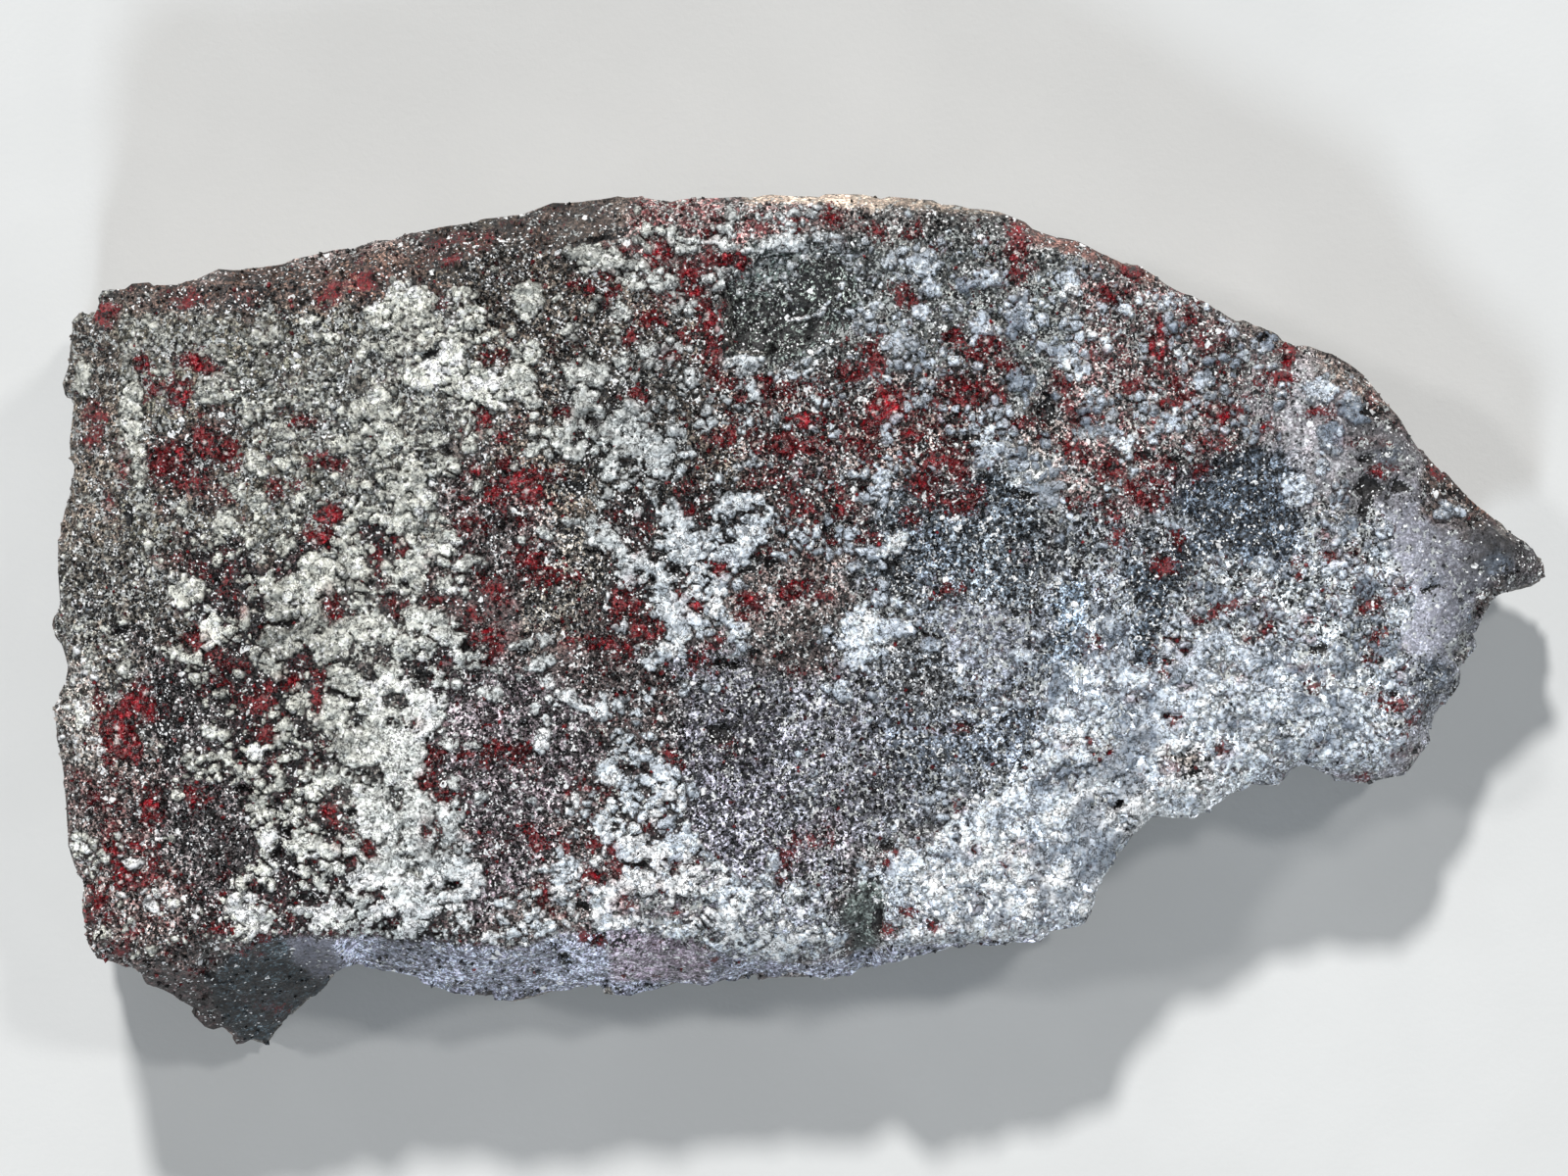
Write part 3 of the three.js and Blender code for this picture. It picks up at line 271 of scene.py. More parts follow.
PALE = [
    # left end
    (-68.3, 22, 1.1, 4.5), (-67.6, 16.5, 1, 2.5), (-67, 8, .7, 3), (-66.5, 30.3, 1.6, .5),
    (-48, 29.2, 1.2, .8), (-43, 31.5, 2.5, 1.6), (-41, 34, 2, 1.4), (-39, 33, 2, 1.6), (-42, 28, 2, 1.2),
    (-44, 22, 2, 1.8), (-47, 18, 2, 1), (-52.6, 16.3, 1.1, .9), (-55.5, 16.5, 1.1, 1.6),
    (-55.5, 12.5, 1.2, 1.2), (-58.7, 10, 1.4, 1.3), (-63.3, 11.3, .9, .9), (-56, 8.2, .7, .8),
    (-53, 8, 1.2, 1.2), (-45, 11.5, 2.6, 1), (-42, 10.5, 2.6, 1), (-46.8, 9, 1.4, 1.7), (-50, 6.5, 1.4, 1),
    (-45, 7, 2, 1.4), (-38.5, 7, 1.5, 1.8), (-53, 19.5, 1.8, 1.1), (-56.8, 21, 1.2, 1.1),
    (-38, 30, 1.6, 1.6), (-66.5, 4.5, .6, 1), (-65.5, 6, .8, .5), (-59.8, 6.7, .6, .6),
    (-56.5, 4.5, 1.2, .7), (-56.5, 1, .9, 1.2), (-54, 4, 1.5, 1.2), (-50.6, 1.5, 1, 1), (-49.5, 5, 1.8, 1),
    (-40, 5.6, 1.8, 1.3), (-40, 1, 1.5, 1), (-42.5, -.5, .8, .8), (-41, -2.5, 1.8, 1.3),
    (-47, -2.3, .9, 1.3), (-49, -2, .9, .9), (-57.5, -1.5, 2.2, .5), (-56, -3, .6, 1.3), (-58, -5, 1.5, .5),
    (-59, -7, .8, .5), (-60.8, -8, .6, .7), (-58, -8.5, .6, .6), (-62.5, -13.5, 1.5, .9),
    (-60.3, -13.4, 1.2, .7), (-58, -14.3, 1.4, .7), (-56.2, -15.3, 1, .7), (-53, -11.5, 1.1, 1.4),
    (-54.3, -12.4, 1, .5), (-51.5, -8, 1.7, 1.4), (-48, -8, .9, 1.1), (-46.4, -8, 1, .8),
    (-48.5, -10.8, .9, .6), (-69, -4.8, 1.2, .8), (-51, -15.5, .9, .9), (-50, -17.2, 1.3, 1.2),
    (-52, -18.5, .9, .9), (-55, -18.2, .6, .6), (-53.5, -16.6, 1.1, .6), (-54.5, -19.5, .6, .6),
    (-51.5, -21, .9, .8), (-63.5, -17.5, .7, .9), (-62, -16, .7, .5), (-73.5, -22.8, 1.7, 1.1),
    (-72.5, -25.2, 1, .5), (-72, -26.4, .7, .4), (-64.5, -22, .5, .6), (-55.5, -24.7, 2.3, .6),
    (-57.3, -26.5, .5, 1.4), (-58, -29.8, 1.2, .4), (-54.2, -26.8, .6, .7), (-52.2, -27.2, .4, .4),
    (-50.8, -27, .5, .6), (-49.2, -26.7, .9, .7), (-48.3, -25, .7, .8), (-50.8, -25.3, .8, .6),
    (-51, -23.5, .7, .8), (-52.4, -22.5, .5, .4), (-50.3, -21, .6, .5), (-49.2, -21.4, .7, .6),
    (-47.5, -27.3, .9, .4), (-46.5, -22.5, .7, .9), (-46.5, -27.9, .8, .5), (-45, -28.4, 1, .7),
    (-51.5, -29.3, 1.5, .5), (-54, -29.8, .9, .3), (-41.8, -27, 1, .6), (-39.5, -27, .5, .4),
    (-37.5, -29, 1, .7), (-43.8, -30.8, .8, .5), (-56.6, -32, .9, .45, 30), (-58.4, -32, 1, .4, 25),
    (-54, -31.2, .5, .3), (-59, -33.6, .8, .25), (-56, -30.6, 1, .3), (-64.5, -28.3, .8, .6),
    (-66.5, -28.8, 1, .8), (-66.3, -33.3, .6, .5), (-68, -33.6, .8, .6), (-71.5, -31.5, .9, .6),
    # left of the middle
    (-37, 1.8, 1.2, .4), (-36.5, .5, 1, .5), (-36.5, -1.5, 1.9, 1), (-35, -3, 1.4, .9), (-33, -3, 1, .7),
    (-34.5, -4.2, 1.8, .5), (-31.3, -4.5, .7, .5), (-38.5, -2.2, .9, 1.8), (-36.8, -6, .7, .6),
    (-33, -7, 1, .6), (-31.7, -7.3, .8, .8), (-37.5, -9.5, 1.2, .8), (-29.2, -5.7, .4, .3),
    (-28.5, -2, 1.4, .7), (-26.5, -1.5, .8, .7), (-27.5, -4.7, .9, .5), (-22.5, -8.6, 1, .7),
    (-21, -9, 1.1, .9), (-19, -8.6, .9, .9), (-17.5, -9.3, .6, .6), (-18.5, -11.5, 1.2, .8),
    (-25.6, -8.1, .5, .5), (-27.6, -8.8, .7, .4), (-26.3, -10, .5, .7), (-27, -12.6, .7, .5),
    (-33.5, -12.5, 1.2, .6), (-12.5, -6.8, .7, .6), (-15.9, -7.6, .5, .5), (-9.5, -6.8, .6, .5),
    (-36, -12, 1.4, 1), (-35.5, -16, .8, .6), (-38.5, -17.5, 1.4, 1), (-33.6, -26, .7, .7),
    (-39, -27, .7, .6), (-34.7, -27.8, .6, .5), (-30.5, -28.7, 1, .8), (-31, -30.3, .8, .6),
    (-30, -31.6, 1, .7), (-28.5, -30.8, .9, .8), (-27.5, -29.8, 1.1, .7), (-26.5, -31.3, 1, .7),
    (-25.5, -30.7, .8, .6), (-28.5, -32.4, 1, .5), (-26.7, -25.3, .6, .6), (-28.2, -25.4, .5, .4),
    (-25, -23.4, 1, .5), (-24.3, -25.1, 1.9, 1.4), (-25, -27.5, 1.4, 1.2), (-23.8, -29, .7, .7),
    (-24, -30.7, .5, .5), (-22.5, -27.7, .5, .5), (-21.5, -26.9, .8, .7), (-20.8, -28.2, .6, .5),
    (-20.7, -29.9, .6, .5), (-20, -26.4, .8, .7), (-17.5, -26, 1.2, .9), (-16.5, -27.3, .8, .8),
    (-16, -28.4, .6, .5), (-17.3, -29.2, .5, .5), (-14.6, -25.6, .8, .6), (-14, -24.5, .4, .4),
    (-16, -23.5, .6, .5), (-18, -23.6, 1, .7), (-13.7, -23.5, .9, .5), (-11.3, -22.5, .8, 1),
    (-12, -20.5, 1, .8), (-13.5, -22, .9, .6), (-17, -20.6, 1, .7), (-16.5, -21.9, .8, .8),
    (-18.7, -21.3, .8, .9), (-12.5, -18.8, .9, .7), (-12, -17, 1.4, 1), (-15, -18.6, 1, .9),
    (-17.2, -18.6, 1.1, .7), (-19, -15.3, 1.3, .5), (-16.5, -15.8, 1.2, .6), (-15.3, -14, 1, .5),
    (-18.7, -12.2, 1.3, .8), (-23.5, -17.6, .9, .8), (-24, -19, 1.1, .7), (-23.5, -21.5, .8, .6),
    (-3.5, -24, 1, 1.2), (-4.3, -26, .8, .9), (-3.4, -27, .4, 1), (-7, -29, 1.2, 1), (-7.5, -31, 1.2, 1),
    (3, -32.5, 1.4, .9), (1, -34, 1.4, .5),
    # centre
    (-7, 12, 1.9, 1.2), (-10, 8, 2.4, 1.4), (-12, 8.6, 1.9, 1), (-14, 8, 1.4, 1.4), (-12.5, 6.4, 1.8, 1),
    (-6, 8.5, 1.4, 1.4), (-5, 10, 1.4, 1), (-7, 6.3, 1.4, .6), (-16, 5.6, 1.4, .9), (-17, 6.6, 1.4, .7),
    (-14.3, 4.3, 1, .9), (-11, 4.6, 1.4, .9), (-8.5, 3.5, 1.4, .9), (-9, 1.4, 1.4, 1.2),
    (-10, -.5, 1.4, .7), (-12.5, -1.5, 1, .9), (-15.5, -4, 1, .9), (-7, -.8, 1.4, 1.1),
    (-6.5, -2.5, 1.1, .8), (-14.8, 1.7, .5, .5), (-13.3, 1.8, .5, .5), (-15.3, 2.8, .7, .6),
    (-6.5, 4, .7, .5), (-4.3, 8.6, .8, .7), (-18, 14.2, 3.5, .45, 35), (-20.8, 12, .5, 1.4),
    (-22, 10.2, 1.3, 1.1), (-21, 8.4, 1.1, .7), (-24, 10.5, 1, .5), (-26.3, 8.7, .6, .5),
    (-29.5, 5, .8, .3), (-12.7, 15.7, .5, .5), (-39, 15, .9, 1.4), (-38.5, 13, 1.4, 1), (-39, 11.8, 1, .8),
    (-36.5, 8.5, 1.8, 1.4), (-39.3, 4, 1, 1.4), (-33, 14, .7, .7), (8, 14.8, 1.2, .8), (7.5, 13, 1.8, 1),
    (4, 9.5, 1.2, 1.2), (2.5, 10.2, .7, .5), (4.3, 7.8, .8, .7), (5.7, 7.7, .6, .5), (2.5, 7.3, 1.4, .5),
    (7.5, 7.3, 1.4, .8), (5, 6, 1, .5), (8.2, 3.9, .6, .6), (7.7, 2.5, 1.1, 1), (10.8, 1.5, .8, .7),
    (8, -.5, 1.8, 1.2), (10.5, -.3, 1, 1), (12.8, -2.3, 1.1, .9), (6.5, -3, 1.8, 1), (5, -4.2, 1, .8),
    (3.8, -6.5, 1, 1), (4.2, -7.6, 1, .6), (2, -6.5, .8, .6),
    # upper middle
    (-22, 38, 2.8, 1.1), (-20, 36.5, 3.6, 1.3), (-18, 35, 1.5, 1), (-13.5, 39.7, .8, .9),
    (-12, 38.5, 1.7, .9), (-8, 36, 1.5, .8), (-2.5, 38.6, 3, .9), (-28, 33, 1.7, 1.9), (-24, 30, 1, 1),
    (-22, 28.2, .7, .4), (-22.5, 25.5, 2.3, 1.8), (-18.5, 27, 1, 1), (-19.3, 29.5, .8, .9),
    (-16, 27.5, .5, 1.2), (-8.9, 30.5, .4, 2.4), (-6, 26.5, 2.2, 1.3), (-5, 23.8, 1, 1),
    (-36, 29.5, 1.4, .9), (-33, 28.8, 1.8, .6), (-34, 24.5, 2.3, 1.8), (-31.5, 23.5, 1.8, 1.8),
    (-29, 24.5, 1.8, 1.8), (-28.5, 27.5, 1.4, 1.4), (-34, 31, 2.3, 1.3), (-38, 31.5, 1.4, 1.4),
    (-35, 33.3, 1.8, .9), (-34, 21, .9, 1.3), (-33.8, 18.5, .9, 1.3), (-28, 22.5, 1.8, .7),
    (-28, 17.7, .9, .9), (-21, 21.5, .9, .8), (-22, 19.5, .9, .8), (-23, 17.5, .9, .8), (-19, 18.5, .9, .8),
    (-20.5, 16.5, .8, .7), (-24.5, 18.5, .7, .7), (-17.5, 20.5, .9, .8), (-13, 19.5, 1.1, .8),
    (-12, 17.5, .9, .8), (-3, 21, .8, .9), (2.5, 39.6, 1.6, .4), (1, 42, 1.5, .7), (8.5, 37, .9, .7),
    (11.5, 36.8, 1.1, 1.1), (12.5, 34.3, 1.4, .9), (16, 34.8, .9, 1.1), (12, 31.7, 1.2, .7),
    (14.5, 31.5, 1.1, .7), (7.5, 32.3, 1.4, .6), (8.7, 28.7, 1, .9), (26, 33, 1, .9), (27, 36, 1, .7),
    (24.5, 28, 1.4, .9), (26.5, 27.3, 1.8, 1.3), (28, 25.5, 1.2, .9), (22.8, 22.8, .5, .9),
    (22.5, 24.5, 1.2, .9), (29.2, 23, .6, .7), (29, 20.3, .7, .7), (16.5, 19.8, .5, .4), (8.2, 19, .7, .7),
    (32, 19.5, .8, .7), (18.5, 16.3, 1.2, .9), (22.5, 16.5, 1.8, .9), (25.5, 16, 1.2, .9),
    (27.5, 11.2, .9, .5), (36.8, 32.8, 1.6, 1.1), (37.5, 20.5, 1.4, 1.3), (36, 19, .9, .9),
    (40, 21.5, .7, .5),
    # right end
    (44, 30.3, .9, .9), (47.5, 26.3, 1.5, .4), (53, 24, 2.2, 1.3), (54, 19, 1.4, 1.7),
    (50.5, 13.8, 1.7, 2.2), (42, 6.3, .7, .7), (66.5, 11.5, 1.4, .9), (55.5, 2.5, .8, .8),
    (58.5, .3, 1.4, .5), (60, -5.8, .8, .5), (59.3, -6.6, .6, .5), (40.5, -8, 1.8, 1.4),
    (36.5, -13.5, 1.4, .9), (32.3, -.8, 1.4, 1.1), (24, -1.2, .9, .7), (26.5, -5.8, 1.3, .8),
    (28, -9, 1.8, 1.4), (31, -8, 1, .9), (26, -9.6, 1, .8), (13, -18, 1.8, .7), (18, -20, 1.4, .9),
    (25, -20, 1.8, 1.3), (31, -20.5, 1.8, 1.3), (28, -23, 1.8, 1.4), (28.5, -29.3, .9, .8),
    (17, -26, 1.4, .9), (24, -28, 1.8, .9), (22.5, -3, 1.4, 1), (17.5, -2.5, 1.3, 1), (43, 3, 2.2, .8),
    (56, -13.5, 1.1, .7), (46, -10.8, 1.6, .8), (48, -7.6, 1.5, .8), (54.5, -9, 1.6, .9),
    (38, -11.8, 1, .7), (33, -14, 1.4, 1),
]

# Smooth, greyer and translucent-looking lumps.
DULL = [
    (-73.5, 25, 1, 2), (-55, 29.5, 2.6, 1.4), (-43.5, 15, 1.9, 1.8), (-41, 13.5, 2.2, 2.1),
    (-62.5, 3, 2.2, 1.6), (-52, -.5, 1.4, 1), (-53, -2.4, 1.8, 1.1), (-64, -3, 1.4, .8), (-62, -4, 1.4, .8),
    (-46, 4, 1.9, 1.3), (-45, 2, 1, .8), (-47, -6, 1.8, 1.1, -25), (-47, -12.5, 1.8, 1.1),
    (-48, -14.5, 1, .6), (-72, -24, 1.2, .8), (-36.8, -19.6, 1.8, 1), (-36, -21.6, 1.4, 1.7),
    (-37.6, -23.5, 1.7, 1), (-33, -17.7, 1, .8), (-27.5, -18.5, 1.2, .7), (-14, -20.5, 1.1, 1.1),
    (-26.5, -3.5, 1.4, .9), (-34, 6.5, 1.8, 1), (-38, 18.5, 2.4, 1.2), (-37, 16, 2.4, 1),
    (7.9, 5.9, .7, .6), (13, 37, 1.4, 1.3), (21.5, 31.5, 1.7, 2.1), (10.5, 27.5, 2.1, 2.1),
    (12, 22.5, .9, .9), (21, 17.4, 1.4, .8), (31, 20, .8, .7), (47, 28.8, 1.4, 1.3), (56.5, 22, 2.2, 1.7),
    (55, 13, 1.3, 1.8), (56, -11, .8, .7), (52, -11, .9, 1.1), (39, -18.5, 2.2, 1.1), (7, -7.5, 1, .8),
    (-60, 24, 2.1, 2.1), (41, 25, 1.3, 1),
]

# Tan marks, colour only.
TAN = [
    (-53.7, -9, .8, .8), (-13.3, -5.5, .6, .5), (-28, -27.3, .7, .5), (-29, -30.2, .4, .4),
    (9.3, 38.8, .8, .8), (10.3, 38, .8, .6), (-.8, 12.1, .6, .6), (8.8, 12.3, .5, .6), (12.3, 25, .4, .6),
    (2, 19.2, 1, .3), (17.5, -8.6, .7, .5), (6, -6.3, .7, .5), (23.3, -3.3, .6, .2), (8.5, -23.2, .6, .4),
    (1.5, -30.5, .6, .4), (56.5, 8.7, .7, .5), (55, 10.4, 2.4, .6, -20), (-48.7, -16, .6, .6),
    (23, -16, .9, .9), (31, -16.8, .8, .6), (33, -19, 1.2, .5), (-17.5, 15.3, .7, .5),
    (58.5, 24.8, 1, .5, -40), (46, -2.2, 2, .7), (43, -1, 2.2, .6), (37.5, -16, 1.2, .8),
]

# Blue-grey marks, colour only.
BLUE = [
    (13, 6, 2.4, 3), (12.5, 8.5, 1.6, 1.6), (22.5, 12, 2.6, 1.5), (28, 11, 2, 1), (35, -3.5, 1.2, 1.1),
    (36, 1, 1.2, 2.6), (34, 4, 1.2, 1), (43.5, -4.3, 1.2, .7), (40.7, -4.6, .8, .8), (56.2, -1.5, 1.4, 1.8),
    (64.5, 4, 1, .7), (62, 2, .6, .8), (65.2, -5.3, 1.7, 1.1), (54, 1.5, .6, .8), (60, 17.2, 1.5, .8),
    (41, 12.5, 2.6, 1.6), (47, 15.5, 2.4, 1.4), (48, 8, 2, 1.4), (42, 7, 2, .9), (38, 5, 2.4, 1),
    (71.5, 6, 1.6, 1.2), (23.3, -25.4, .9, .7), (21.5, -27, 1, .8), (16, -13.5, 3.5, .9),
    (-72.7, 1.6, 1, 1), (27, -2, 1.8, 2), (12, -4, 2.4, 1), (9.8, -8.4, 1.8, 1), (22, -9, 1.4, 1.6),
    (29.5, -14, 1.4, .8),
]

# Black clefts and holes: pits in the rock that stay free of crust, painted black as their shade.
BLACK = [
    (-50.5, -28.1, 1.5, .45), (-47.6, -28, .6, .3), (-53, .3, 2.2, .25), (-46.6, -7.1, 1.7, .25, -15),
    (-60, -9.7, 1, .3), (-57, -13.7, .8, .3), (-64.8, -9, .9, 4), (-64.3, -13.5, 1, 1.6),
    (-52.5, -21.3, .5, .6), (-53.5, -23.6, .5, .7), (-48, -21.5, .9, .7), (-38.5, -5.5, .9, .7),
    (-34.7, -.6, .9, .3), (-34.5, -2.3, .5, .5), (-28.4, -.9, .8, .3), (-28.7, -2.7, .6, .6),
    (-21.5, 7.2, 1, .3), (-23, 13.6, 1.4, .8), (-8.3, 9.5, .25, .9), (-8, 8.3, .7, .25), (-13, 5, .9, .4),
    (-5.5, 5.2, .8, .4), (-3.5, 6.2, .8, .4), (-5, 1.5, .6, .5), (-3.6, 1, .5, .3), (-8, -4.4, 2, .4),
    (-5, -3, .8, .4, 40), (-15.5, 4.5, .3, .7), (-14.9, 12.5, .3, 1.8), (-16, 10.8, .5, 1.6),
    (-17, -24.7, 1.5, .3, -20), (-18.2, -15, .8, .3), (-22.5, -28.8, .7, .4), (-26.2, -24.3, .6, .25),
    (-24.7, -34.2, 1.5, .45, -47), (-18.8, -32.3, .6, .3), (-35.5, -26.3, .7, .4), (8.5, -22.6, .8, .5),
    (18, -27.5, .5, .2), (23.3, -13, .3, .3), (16.2, -10.4, 1, .5), (11.6, -.3, .3, .3),
    (12.2, -1, .5, .25, -40), (13.3, -1.5, .3, .2), (5.5, -6, .5, .3), (9.8, 5.5, .3, 1.4),
    (22.8, 13.2, 1.2, .4), (30.4, 9.2, 1, .25, -50), (21, 8.8, .7, .3), (2.3, 9, .3, 1.2, 20),
    (5.9, 8.6, .6, .4), (9, 9.6, .5, .4), (3, 10.3, 1.3, .25), (24.7, 22, .8, 1.5), (27.3, 20.7, .6, .5),
    (16.5, 19, 1.2, .5), (1, 17.6, 1, .4), (10.8, 24.2, .5, .4), (35, 17, 1.2, .5, -15), (38, 16.6, .8, .5),
    (-21, 32, .4, .7), (-24.5, 28, .5, .5), (-25.5, 21.5, .4, .6), (-29.3, 31, 1.7, .4, -45),
    (-20.4, 39.8, 3.4, .3, 12), (-38.5, 27.3, 1.7, .3, 30), (-7.9, 33.5, .4, 1.6), (-3.5, 27.9, 1.6, .25),
    (47, 29.5, .6, .4), (48.5, 26.9, .8, .2), (58.5, 21.9, 1.4, .5, -45), (57.8, 16.5, .8, .4),
    (58, 13.8, 1.2, 1), (61, 14, .7, .4), (57.4, 11.6, .4, 1.1), (61, 13, .9, .15),
    (68.5, 12.6, 3, .35, -38), (51, 7, .4, .4), (60.3, -7.2, .5, .5), (37.3, -9.5, .5, .3),
    (39.7, -15.4, .7, .3), (46.6, 1.3, .3, .5), (64.5, 3.2, 1.1, .15, 10), (59, -3.7, .5, .4),
    (-61, -36.8, 1.2, 1.5), (-59.5, -38.5, 1.3, 1.2), (-68.8, -1, 1, .4), (-69, 11, .3, 2.6),
    (16, -7.6, 1, .25), (14.5, 12.7, .8, .5), (14, 14.6, .9, .6), (7.2, -30.5, .5, 1.2),
    (52.6, -2.6, .8, .3), (-57, -17, .8, .5), (-63, -20, .7, 1), (-46, -19.5, .6, .4),
    (32.6, -18.6, .5, .5), (-8.5, -11.5, 1.6, 1),
]

# Reds, from the brightest cinnabar to brown-red stained ground.
SCARLET = [
    (-69.6, -10, 1.5, 2.8, -20), (-68, -7.8, 1, 1.4), (-61.8, 26.5, 1.8, .7, -20), (-63.5, 23.5, .9, 1.3),
    (-66, 24, .7, .7), (-67.5, 26.5, .7, .7), (-58.7, 17.5, .9, .9), (-48.7, 11, 1.6, .9),
    (-49.3, 8.8, 1.2, .9), (-49.5, 16.7, .9, .6), (-29.5, 14.5, 2, 1.2), (-31.5, 13.3, .9, .7),
    (-28, 13.3, 1.2, 1), (-27.8, 6.7, 1.5, .9), (-26.5, 5.7, .9, .6), (-25.5, 5.1, .6, .6),
    (-18.3, -2.5, 1.3, .7), (-20, -2, .8, .6), (-11.8, 35.7, .9, 1.1), (-11.5, 34, 1.4, .6),
    (-8, 37, 2.3, .7), (-14.3, 38.2, .9, .9), (-15.5, 37.2, .6, .6), (-11.3, 1.4, 1, .7),
    (-5.8, 2.3, 1, .8), (-8.2, 5.3, .7, .8), (-.8, 3.7, .8, .7), (-11, -4.3, .6, .8), (8, 22.3, 1.7, 1.7),
    (8.3, 21.2, .8, .6), (0, 21, 1.6, .9), (18.7, 28.3, 1, 1.2), (15.5, 16, 1.6, .8, -30), (16, 15, .7, .8),
    (12.4, 14.5, .9, 1.3), (13.5, 16.6, 1, .6), (36.3, 28.6, 1.1, 1.3), (36.2, 30.7, .6, 1.1),
    (39.6, 31.1, .6, .5), (21.5, 40.3, .7, .6), (42.5, 1.5, .5, .5), (37.5, -3.7, .6, .5),
    (60.8, -5.3, .5, .5), (-62.1, -36.3, .5, .6), (-70.7, -11.2, .8, 1), (-70, -12.5, .9, .8),
    (-69, -12, 1.5, 1.6), (-67, -7.6, .7, 1.3), (-66.5, -9, .6, .8), (-69, -9, .8, .6),
    (-71.3, -13.5, .5, .6), (-68.4, -13.4, .6, .7), (-66.3, -19, .7, 1.4), (-70, -24.5, .5, .5),
    (-68, -22.7, 1, .4), (-70, -23, .8, .5), (-66.5, -24.6, .5, 1), (-48.3, -19.3, .8, .6),
    (-28.5, -21.3, .4, .4), (43.3, 21.2, .7, .6), (49.3, 25, 1, .6), (33.5, 36, .9, .5), (2.5, 41.8, 1, .4),
    (58.9, 15.5, .7, .6), (49.5, 27.5, .5, .9), (-12, 14, .4, .4),
]

